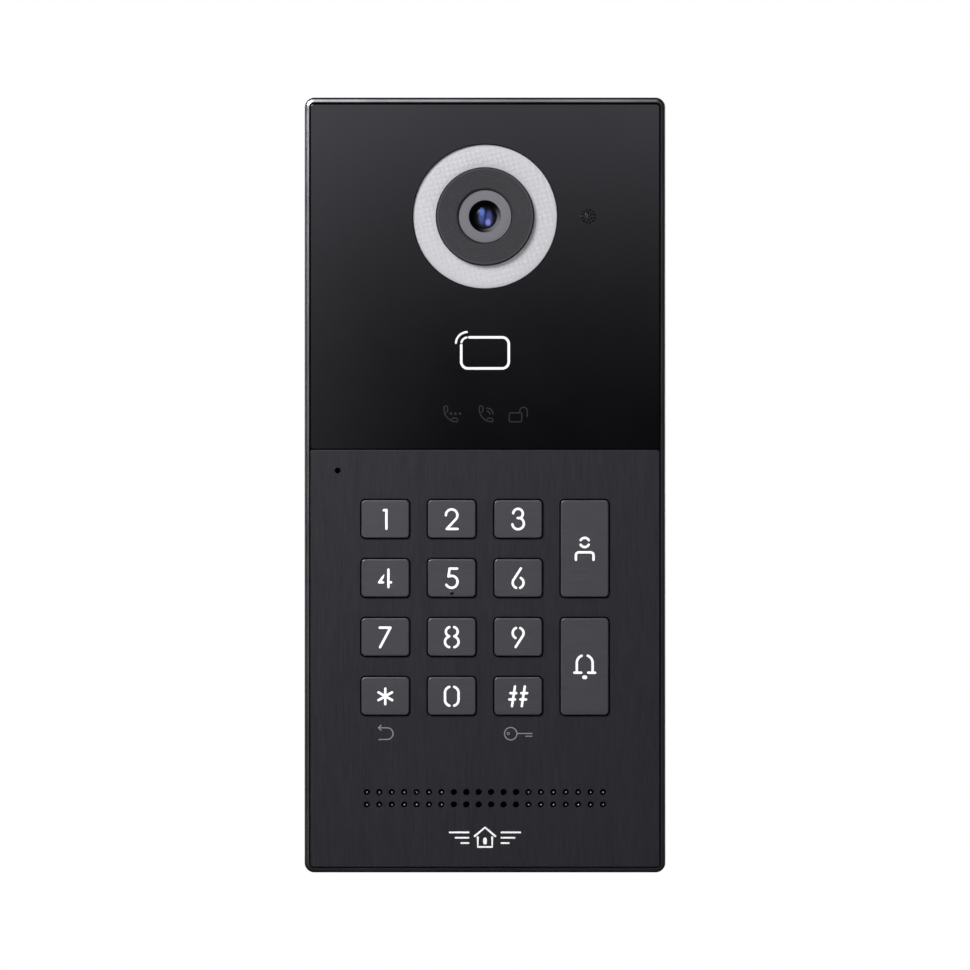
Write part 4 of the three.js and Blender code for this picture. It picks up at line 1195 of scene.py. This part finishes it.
class DOORPANEL_OT_prints(PanelOperator, bpy.types.Operator):
    """Prints the card symbol, the status symbols, the two key symbols and the plain house mark"""

    bl_idname = "door_panel.prints"
    bl_label = "Printed Symbols"

    def execute(self, context):
        self.print_layer("card_symbol_print", CARD_SYMBOL, "print white", "legend")
        self.print_layer("status_symbols_print", STATUS_SYMBOLS, "print faint", "legend")
        self.print_layer("return_symbol_print", RETURN_SYMBOL, "print grey", "legend")
        self.print_layer("key_symbol_print", KEY_SYMBOL, "print grey", "legend")
        self.print_layer("house_mark_print", HOUSE_MARK, "print white", "legend")
        return {"FINISHED"}

    def print_layer(self, name, strokes, look, slot):
        face = node_box("brushed_plate")[2]
        front, back = face - 0.02 * MM, face + 0.04 * MM
        bm = bmesh.new()
        for points, width in strokes:
            stroke(bm, points, width, front - 0.1 * MM, back + 0.1 * MM)
        cutter = as_object("strokes", bm)
        xs = [x * MM for points, _ in strokes for x, _ in points]
        zs = [z * MM for points, _ in strokes for _, z in points]
        slab = bmesh.new()
        brick(slab, min(xs) - MM, max(xs) + MM, front, back, min(zs) - MM, max(zs) + MM)
        layer = as_object(name, slab)
        carve(layer, cutter, "INTERSECT")
        finish_piece(layer, finish(look), STATION)


def box_middle(left, right, bottom, top):
    """The middle of a rectangle in the panel's face."""
    return Vector(((left + right) / 2, 0, (bottom + top) / 2))


class DOORPANEL_OT_keys(PanelOperator, bpy.types.Operator):
    """Models the keys: brushed caps, white legends and black carriers"""

    bl_idname = "door_panel.keys"
    bl_label = "Keys"

    def execute(self, context):
        settings = context.scene.door_panel_face
        for name in KEY_NAMES:
            self.cap(name, settings)
            self.legend(name)
            self.carrier(name, settings)
        return {"FINISHED"}

    def strokes(self, name, centre, front, back, extra=0.0):
        bm = bmesh.new()
        for points, width in LEGENDS[name]:
            stroke(bm, points, width + extra, front, back, centre.x, centre.z)
        return as_object("strokes", bm)

    def cap(self, name, settings):
        left, right, front, back, bottom, top = node_box(f"key_{name}_cap")
        front = node_box("key_1_cap")[2]
        bm = bmesh.new()
        rounded_slab(
            bm, (left, right, bottom, top), settings.key_corner, front, back, settings.key_edge, 0.05 * MM,
            steps=8, round_steps=5)
        cap = as_object(f"key_{name}_metal_cap", bm)
        middle = box_middle(left, right, bottom, top)
        carve(cap, self.strokes(name, middle, front - 0.5 * MM, back + 0.5 * MM, 0.06))
        finish_piece(cap, finish("key metal"), f"key_{name}", [f"key_{name}_cap"], smooth=50)
        if name == "5":
            self.tactile_dot(middle, front)

    def tactile_dot(self, middle, front):
        """The small black pip that a finger finds on the middle key."""
        bm = bmesh.new()
        radius, below, foot = 0.46 * MM, 3.68 * MM, front + 0.3 * MM
        turned(bm, [
            (0, front - 0.1 * MM), (radius * 0.7, front - 0.08 * MM), (radius, front), (radius, foot),
            (0, foot),
        ], middle.x, middle.z - below, 24)
        make("key_5_tactile_dot", bm, finish("dark dot"), "key_5")

    def legend(self, name):
        left, right, front, back, bottom, top = node_box(f"key_{name}_cap")
        front = node_box("key_1_cap")[2]
        bm = bmesh.new()
        brick(bm, left, right, front + 0.02 * MM, back + 0.1 * MM, bottom, top)
        legend = as_object(f"key_{name}_legend", bm)
        middle = box_middle(left, right, bottom, top)
        carve(legend, self.strokes(name, middle, front - 0.5 * MM, back + 0.5 * MM), "INTERSECT")
        finish_piece(legend, finish("legend"), f"key_{name}", [f"key_{name}_carrier"])

    def carrier(self, name, settings):
        left, right, _, cap_back, bottom, top = node_box(f"key_{name}_cap")
        _, _, _, back, _, _ = node_box(f"key_{name}_carrier")
        box = (left, right, bottom, top)
        flange = 0.96 * MM
        flange_front = back - 0.8 * MM
        bm = bmesh.new()
        rings = [(0, cap_back + 0.05 * MM), (0, flange_front), (flange, flange_front), (flange, back)]
        rounded_skin(bm, [(grow(box, by), settings.key_corner + by, y) for by, y in rings])
        make(f"key_{name}_black_carrier", bm, finish("carrier"), f"key_{name}",
             [f"key_{name}_carrier"])


class DOORPANEL_OT_camera(PanelOperator, bpy.types.Operator):
    """Models the camera: diffuser ring, grooved hood, grey ring, lens and barrel"""

    bl_idname = "door_panel.camera"
    bl_label = "Camera"

    DOME_PITCH = 1.2 * MM
    DOME_RADIUS = 0.55 * MM
    DOME_HEIGHT = 0.045 * MM
    LATTICE_TURN = 14  # degrees

    def execute(self, context):
        self.diffuser()
        self.hood()
        self.ring()
        self.well()
        self.lens()
        return {"FINISHED"}

    def diffuser(self):
        """The frosted ring, with a lattice of low lens bumps on its face."""
        _, _, front, back, _, _ = node_box("fill_light_diffuser")
        inner, outer, flange = 11.95 * MM, 17.6 * MM, 19.5 * MM
        step = back - 1.3 * MM
        edge = 0.15 * MM
        face = front + self.DOME_HEIGHT
        bm = bmesh.new()
        closed_turned(bm, [
            (inner, face + edge), (inner + edge, face), (outer - edge, face), (outer, face + edge),
            (outer, step), (flange, step), (flange, back), (inner, back),
        ], CAMERA_X, CAMERA_Z, 128)
        self.lattice(bm, inner + self.DOME_RADIUS, outer - self.DOME_RADIUS, face)
        make("fill_light_diffuser_ring", bm, finish("diffuser"), STATION, ["fill_light_diffuser"],
             smooth=70)

    def lattice(self, bm, inner, outer, face):
        """Low domes on a square lattice that is turned a little."""
        dome = bmesh.new()
        flat = Matrix.Diagonal((self.DOME_RADIUS, self.DOME_HEIGHT, self.DOME_RADIUS, 1)) @ in_plane(0, 0, 0)
        bmesh.ops.create_uvsphere(dome, u_segments=8, v_segments=6, radius=1, matrix=flat)
        shape = bpy.data.meshes.new("dome")
        dome.to_mesh(shape)
        dome.free()
        turn = Matrix.Rotation(math.radians(self.LATTICE_TURN), 2)
        reach = int(outer / self.DOME_PITCH) + 1
        for row in range(-reach, reach + 1):
            for column in range(-reach, reach + 1):
                spot = turn @ Vector((column, row)) * self.DOME_PITCH
                if inner < spot.length < outer:
                    place = Vector((CAMERA_X + spot.x, face, CAMERA_Z + spot.y))
                    shape.transform(Matrix.Translation(place))
                    bm.from_mesh(shape)
                    shape.transform(Matrix.Translation(-place))
        bpy.data.meshes.remove(shape)

    def hood(self):
        """The dished hood with fine concentric grooves, and its tube."""
        _, _, front, _, _, _ = node_box("lens_hood")
        edge_radius, bore = 11.8 * MM, 6.6 * MM
        dish, groove, chamfer = 0.08 * MM, 0.1 * MM, 0.4 * MM
        first, last, count = 11.4 * MM, 6.95 * MM, 10
        edge = 0.12 * MM
        face = [(edge_radius, front + edge), (edge_radius - edge, front)]
        for i in range(count):
            for part, depth in ((0.0, 0), (0.5, 0), (0.66, groove), (0.84, groove)):
                r = first + (last - first) * (i + part) / count
                sink = dish * (first - r) / (first - bore)
                face.append((r, front + sink + depth))
        face += [(last, front + dish), (bore, front + dish + chamfer)]
        bm = bmesh.new()
        tube, flange = 10.5 * MM, 18 * MM
        flange_back = front + 10.5 * MM
        flange_front = front + 8.5 * MM
        closed_turned(bm, face + [
            (bore, flange_back), (flange, flange_back), (flange, flange_front),
            (tube, flange_front), (tube, front + 4.3 * MM), (edge_radius, front + 3.1 * MM),
        ], CAMERA_X, CAMERA_Z, 128)
        make("grooved_lens_hood", bm, finish("hood"), STATION, ["lens_hood"], smooth=28)

    def ring(self):
        """The grey ring with a straight bore; the cone that narrows towards the lens is the well's."""
        _, _, front, back, _, _ = node_box("lens_ring")
        bore, outer = 3.93 * MM, 6.45 * MM
        edge = 0.1 * MM
        bm = bmesh.new()
        closed_turned(bm, [
            (bore, back), (bore, front + edge), (bore + edge, front),
            (outer - edge, front), (outer, front + edge), (outer, back),
        ], CAMERA_X, CAMERA_Z, 96)
        make("grey_lens_ring", bm, finish("lens ring"), STATION, ["lens_ring"], smooth=50)

    def well(self):
        """The cone that leads from the ring down to the lens."""
        front = node_box("lens_ring")[2]
        lens_front = node_box("front_lens")[2]
        mouth, throat = 3.92 * MM, 2.92 * MM
        bm = bmesh.new()
        closed_turned(bm, [
            (throat, lens_front + 0.64 * MM), (throat + 0.05 * MM, lens_front + 0.3 * MM),
            (mouth, front + 0.15 * MM), (mouth, lens_front + 0.34 * MM),
        ], CAMERA_X, CAMERA_Z, 96)
        # Its finish paints the cone's shade at the upper left and its lit side at the lower right.
        make("lens_well_cone", bm, finish("well"), STATION, smooth=50)

    def lens(self):
        """A thick lens with both faces bulging, and the black barrel that holds it."""
        front = node_box("front_lens")[2]
        radius, bulge, thick, back_share = 2.9 * MM, 0.75 * MM, 2.6 * MM, 1.2
        rounds = 12
        turns = [math.pi / 2 * i / rounds for i in range(rounds + 1)]
        bm = bmesh.new()
        front_face = [(radius * math.sin(turn), front + bulge * (1 - math.cos(turn))) for turn in turns]
        back_face = [(r, front + thick - (y - front) * back_share) for r, y in reversed(front_face)]
        turned(bm, front_face + back_face, CAMERA_X, CAMERA_Z, 64)
        # The lens's blue gleams are painted reflections that glow.
        make("front_lens_painted_reflections", bm, finish("front lens"), STATION, ["front_lens"], smooth=60)
        self.barrel()

    def barrel(self):
        _, _, front, back, _, _ = node_box("lens_barrel")
        bm = bmesh.new()
        lens_front, lens_back = node_box("front_lens")[2:4]
        seat, mouth, outside, eye = 3.0 * MM, 3.94 * MM, 6 * MM, 2 * MM
        floor, ledge = back - 2.3 * MM, lens_back + 0.2 * MM
        closed_turned(bm, [
            (seat, lens_front + 0.65 * MM), (mouth, lens_front + 0.35 * MM), (mouth, front), (outside, front),
            (outside, floor), (eye, floor), (eye, ledge), (seat, ledge),
        ], CAMERA_X, CAMERA_Z, 64)
        root, crest = outside - 0.1 * MM, outside + 0.3 * MM
        for i in range(6):
            y = front + (2.5 + 1.6 * i) * MM
            closed_turned(bm, [
                (root, y), (crest, y + 0.3 * MM), (crest, y + 0.8 * MM), (root, y + 1.1 * MM),
            ], CAMERA_X, CAMERA_Z, 64)
        make("threaded_lens_barrel", bm, finish("black plastic"), STATION, ["lens_barrel"])


class DOORPANEL_OT_inner_parts(PanelOperator, bpy.types.Operator):
    """Gives the CAD pieces that keep their shape their finishes"""

    bl_idname = "door_panel.inner_parts"
    bl_label = "Inner Parts"

    # For each finish, its CAD pieces and the width of their softened edges in millimetres.
    PARTS = {
        "circuit board": [(name, 0.1) for name in (
            "fill_light_board", "camera_board", "card_antenna", "keypad_board", "main_board")],
        "clear plastic": [("status_light_guide", 0.15), ("light_sensor_pipe", 0.2)],
        "rubber": [
            ("keypad_membrane", 0.1), ("housing_seal", 0.2), ("microphone_boot", 0.2), ("bay_seal", 0.2)],
        "black plastic": [
            ("speaker_frame", 0.2), ("network_jack", 0.15), ("tamper_switch", 0.2), ("tamper_plunger", 0.15)],
        "cone": [("speaker_cone", 0.1)],
        "terminal plastic": [("terminal_block", 0.15)],
        "housing plastic": [("rear_housing", 0.3)],
        "screw steel": [(name, 0.1) for name in (
            "lock_screw", "housing_screw_1", "housing_screw_2", "housing_screw_3", "housing_screw_4")],
    }

    def execute(self, context):
        for look, parts in self.PARTS.items():
            for name, bevel in parts:
                dress(name, finish(look), bevel * MM)
        return {"FINISHED"}


class DOORPANEL_OT_bracket(PanelOperator, bpy.types.Operator):
    """Models the pressed wall bracket: sheet, bent lock tab, four hooks and all its openings"""

    bl_idname = "door_panel.wall_bracket"
    bl_label = "Wall Bracket"

    SHEET = 1.5 * MM
    OUTER_BEND, INNER_BEND = 1.7 * MM, 0.2 * MM
    SHEET_BOTTOM = -88 * MM
    CORNER = 6 * MM
    TAB_HALF, TAB_HOLE_Y, TAB_HOLE_RADIUS = 12 * MM, -8 * MM, 1.7 * MM
    HOOK_X, HOOK_ROWS, HOOK_HALF = 26 * MM, (66 * MM, -56 * MM), 4 * MM
    HOOK_REACH, HOOK_RISE = 7.2 * MM, 5.5 * MM
    WINDOW = (-25 * MM, 25 * MM, -41 * MM, -17 * MM)
    TAMPER_SLOT = (-3.5 * MM, 3.5 * MM, 16.5 * MM, 31.5 * MM)
    BOX_SLOT_X, BOX_SLOT_HALF, BOX_SLOT_RADIUS = 30 * MM, 5 * MM, 2.5 * MM
    WALL_HOLE_X, WALL_HOLE_Z, WALL_HOLE_RADIUS = 28 * MM, 76 * MM, 2.25 * MM

    def execute(self, context):
        left, right, _, back, _, top = node_box("wall_bracket")
        front = back - self.SHEET
        bm = bmesh.new()
        rounded_slab(
            bm, (left, right, self.SHEET_BOTTOM, top), self.CORNER, front, back, 0.2 * MM, 0.2 * MM, steps=10)
        sheet = as_object("pressed_wall_bracket", bm)
        carve(sheet, self.bent_parts(front, back), "UNION")
        carve(sheet, self.openings(front, back))
        finish_piece(sheet, finish("bracket steel"), BRACKET, ["wall_bracket"])
        return {"FINISHED"}

    def bent_strip(self, bm, outline, left, right):
        """A strip across the bracket whose side view is an outline of (y, z) points."""
        verts = [bm.verts.new((left, y, z)) for y, z in outline]
        for pair in zip(verts, verts[1:] + verts[:1]):
            bm.edges.new(pair)
        face = bmesh.ops.contextual_create(bm, geom=verts + loop_edges(verts))["faces"]
        grown = bmesh.ops.extrude_face_region(bm, geom=face)["geom"]
        moved = [g for g in grown if isinstance(g, bmesh.types.BMVert)]
        bmesh.ops.translate(bm, verts=moved, vec=(right - left, 0, 0))

    def bent_parts(self, front, back):
        """The tab that takes the lock screw, and the four hooks."""
        outer, inner = self.OUTER_BEND, self.INNER_BEND
        _, _, tab_front, _, tab_bottom, _ = node_box("wall_bracket")
        tab_top = tab_bottom + self.SHEET
        overlap = 0.5 * MM
        neck_top = self.SHEET_BOTTOM + 2 * overlap
        bm = bmesh.new()
        self.bent_strip(bm, [
            (front, neck_top), (back, neck_top), *bend(back - outer, tab_bottom + outer, outer, 0, -90),
            (tab_front, tab_bottom), (tab_front, tab_top),
            *bend(front - inner, tab_top + inner, inner, -90, 0),
        ], -self.TAB_HALF, self.TAB_HALF)
        reach = back - self.HOOK_REACH
        for z in self.HOOK_ROWS:
            low = z - self.SHEET
            outline = [
                (front + overlap, low), *bend(reach + outer, low + outer, outer, -90, -180),
                (reach, z + self.HOOK_RISE), (reach + self.SHEET, z + self.HOOK_RISE),
                *bend(reach + self.SHEET + inner, z + inner, inner, 180, 270), (front + overlap, z),
            ]
            for x in (-self.HOOK_X, self.HOOK_X):
                self.bent_strip(bm, outline, x - self.HOOK_HALF, x + self.HOOK_HALF)
        return as_object("bent parts", bm)

    def openings(self, front, back):
        """The cable window, the tamper slot, the wall holes, the box slots and the lock screw's hole."""
        ends = front - BEYOND, back + BEYOND
        bm = bmesh.new()
        rounded_slab(bm, self.WINDOW, 3 * MM, *ends, steps=10)
        rounded_slab(bm, self.TAMPER_SLOT, 3.4 * MM, *ends, steps=10)
        for side in (-1, 1):
            x, half, radius = side * self.BOX_SLOT_X, self.BOX_SLOT_HALF, self.BOX_SLOT_RADIUS
            rounded_slab(bm, (x - half, x + half, -radius, radius), radius - 0.05 * MM, *ends, steps=10)
            for z in (-self.WALL_HOLE_Z, self.WALL_HOLE_Z):
                rod(bm, self.WALL_HOLE_RADIUS, *ends, side * self.WALL_HOLE_X, z, 40)
        tab_bottom = node_box("wall_bracket")[4]
        place = Matrix.Translation((0, self.TAB_HOLE_Y, tab_bottom + self.SHEET / 2))
        bmesh.ops.create_cone(
            bm, cap_ends=True, segments=32, radius1=self.TAB_HOLE_RADIUS, radius2=self.TAB_HOLE_RADIUS,
            depth=2 * self.SHEET, matrix=place)
        return as_object("openings", bm)


class DOORPANEL_OT_fittings(PanelOperator, bpy.types.Operator):
    """Adds the small fittings: tape, lamps, chips, plug contacts, terminal screws and the plunger's spring"""

    bl_idname = "door_panel.fittings"
    bl_label = "Small Fittings"

    TAPE_WIDTH = 1.5 * MM
    TERMINAL_PITCH = 4.6 * MM
    CONTACT_PITCH = 1.02 * MM
    LAMP_COUNT = 12
    # Each part on the main board: left, bottom, width, height and how far it stands out, in millimetres.
    CHIPS = ((-24, -2, 14, 14, 1.4), (-2, 2, 10, 12, 1.2), (-28, -30, 7, 7, 1.0), (14, -34, 9, 6, 1.2),
             (-10, -46, 8, 5, 1.5), (22, -52, 5, 6, 1.1), (-30, 22, 6, 5, 1.0), (2, -24, 5, 5, 1.0))
    SHIELDS = ((14, 0, 18, 22, 2.4), (-30, -56, 14, 12, 2.2))
    PLUGS = ((-18, 30, 14, 5, 3.4), (8, 32, 10, 5, 3.4), (-8, -60, 8, 4, 3.2))

    def execute(self, context):
        self.tapes()
        self.lamps()
        self.board_parts()
        self.terminals()
        self.contacts()
        self.spring()
        return {"FINISHED"}

    def tapes(self):
        """Thin frames of tape that hold the glass and the plate on the shelf."""
        gap, depth, corners = 0.02 * MM, 0.26 * MM, (0.8 * MM, 0.5 * MM)
        for name, face in (("glass_tape", "glass_window"), ("plate_tape", "brushed_plate")):
            left, right, _, back, bottom, top = node_box(face)
            outer = grow((left, right, bottom, top), -0.1 * MM)
            inner = grow(outer, -self.TAPE_WIDTH)
            front, rear = back + gap, back + gap + depth
            bm = bmesh.new()
            rounded_skin(bm, [
                (outer, corners[0], front), (outer, corners[0], rear),
                (inner, corners[1], rear), (inner, corners[1], front),
            ], closed=True)
            make(name, bm, finish("tape"), STATION)

    def lamps(self):
        """Small white lamps in a circle behind the diffuser."""
        front = node_box("fill_light_board")[2]
        circle, half, tall = 15.8 * MM, 1.0 * MM, 0.8 * MM
        bm = bmesh.new()
        for i in range(self.LAMP_COUNT):
            turn = 2 * math.pi * i / self.LAMP_COUNT
            x, z = CAMERA_X + circle * math.cos(turn), CAMERA_Z + circle * math.sin(turn)
            brick(bm, x - half, x + half, front - tall, front, z - half, z + half)
        make("fill_light_lamps", bm, finish("white plastic"), STATION)

    def board_parts(self):
        front = node_box("main_board")[2]
        for name, parts, look, slot in (
            ("main_board_chips", self.CHIPS, "chip", "black_plastic"),
            ("main_board_shields", self.SHIELDS, "screw steel", "screw_steel"),
            ("main_board_plugs", self.PLUGS, "white plastic", "legend"),
        ):
            bm = bmesh.new()
            for left, bottom, width, height, tall in parts:
                top = bottom + height
                brick(bm, left * MM, (left + width) * MM, front - tall * MM, front, bottom * MM, top * MM)
            make(name, bm, finish(look), STATION)

    def terminals(self):
        """Slotted screws in the terminal block's wells, and the clamps in its wire entries."""
        middle = node_centre("terminal_block")
        floor = node_box("terminal_block")[3] - 4 * MM
        thick = 0.5 * MM
        screws, slots, clamps = bmesh.new(), bmesh.new(), bmesh.new()
        for i in range(4):
            x = middle.x + (i - 1.5) * self.TERMINAL_PITCH
            z = middle.z + 2 * MM
            head = floor + 1.8 * MM
            rod(screws, 1.4 * MM, floor, head, x, z, 32)
            brick(slots, x - 1.6 * MM, x + 1.6 * MM, head - 0.8 * MM, head + MM, z - 0.25 * MM, z + 0.25 * MM)
            low = middle.z - 4.2 * MM
            sides, inner_end = (x - 1.15 * MM, x + 1.15 * MM), floor - 2.9 * MM
            brick(clamps, *sides, inner_end, floor + 1.6 * MM, low, low + thick)
            brick(clamps, *sides, inner_end, inner_end + thick, low, low + 2.4 * MM)
        heads = as_object("terminal_screws", screws)
        carve(heads, as_object("slots", slots))
        finish_piece(heads, finish("screw steel"), STATION)
        make("terminal_clamps", clamps, finish("screw steel"), STATION)

    def contacts(self):
        """Eight sprung contacts that slope down into the network jack."""
        middle = node_centre("network_jack")
        back = node_box("network_jack")[3]
        half, length = 0.17 * MM, 8.6 * MM
        bm = bmesh.new()
        for i in range(8):
            place = Matrix.Translation((
                middle.x + (i - 3.5) * self.CONTACT_PITCH, back - 6.6 * MM, middle.z + 1.6 * MM))
            lean = Matrix.Rotation(math.radians(24), 4, "X")
            shape = Matrix.Diagonal((2 * half, length, 2 * half, 1))
            bmesh.ops.create_cube(bm, size=1.0, matrix=place @ lean @ shape)
        make("network_jack_contacts", bm, finish("contact gold"), STATION)

    def spring(self):
        """The coil that pushes the tamper plunger out of the back."""
        middle = node_centre("tamper_plunger")
        front = node_box("tamper_plunger")[2]
        coil, wire = 2.3 * MM, 0.2 * MM
        turns, length = 4, 2.7 * MM
        bm = bmesh.new()
        start = Vector((middle.x + coil, front + 0.45 * MM, middle.z))
        place = Matrix.Translation(start)
        ring = bmesh.ops.create_circle(bm, cap_ends=True, segments=8, radius=wire, matrix=place)
        geom = ring["verts"] + loop_edges(ring["verts"]) + list(bm.faces)
        steps = 20 * turns
        bmesh.ops.spin(
            bm, geom=geom, cent=(middle.x, 0, middle.z), axis=(0, 1, 0), dvec=(0, length / steps, 0),
            angle=2 * math.pi * turns, steps=steps, use_merge=False, use_duplicate=False)
        make("tamper_plunger_spring", bm, finish("screw steel"), "tamper_plunger")


class DOORPANEL_PT_sidebar(bpy.types.Panel):
    """Lists the panel's settings and modelling steps."""

    bl_idname = "DOORPANEL_PT_sidebar"
    bl_label = "Door Panel"
    bl_space_type = "VIEW_3D"
    bl_region_type = "UI"
    bl_category = "Door Panel"

    def draw(self, context):
        for settings in (context.scene.door_panel_face, context.scene.door_panel_stage):
            box = self.layout.box()
            for name in settings.__annotations__:
                box.prop(settings, name)
        column = self.layout.column()
        for step in STEPS:
            column.operator(step.bl_idname)


STEPS = (
    DOORPANEL_OT_stage,
    DOORPANEL_OT_frame,
    DOORPANEL_OT_plate,
    DOORPANEL_OT_glass,
    DOORPANEL_OT_prints,
    DOORPANEL_OT_keys,
    DOORPANEL_OT_camera,
    DOORPANEL_OT_bracket,
    DOORPANEL_OT_inner_parts,
    DOORPANEL_OT_fittings,
)
CLASSES = (DoorPanelStage, DoorPanelFace, *STEPS, DOORPANEL_PT_sidebar)


def register():
    for item in CLASSES:
        bpy.utils.register_class(item)
    bpy.types.Scene.door_panel_stage = bpy.props.PointerProperty(type=DoorPanelStage)
    bpy.types.Scene.door_panel_face = bpy.props.PointerProperty(type=DoorPanelFace)


def unregister():
    del bpy.types.Scene.door_panel_face
    del bpy.types.Scene.door_panel_stage
    for item in reversed(CLASSES):
        bpy.utils.unregister_class(item)


def run_step(step):
    """Calls one modelling step through Blender's operators."""
    family, name = step.bl_idname.split(".")
    getattr(getattr(bpy.ops, family), name)()


def main():
    register()
    for step in STEPS:
        run_step(step)


if __name__ == "__main__":
    main()
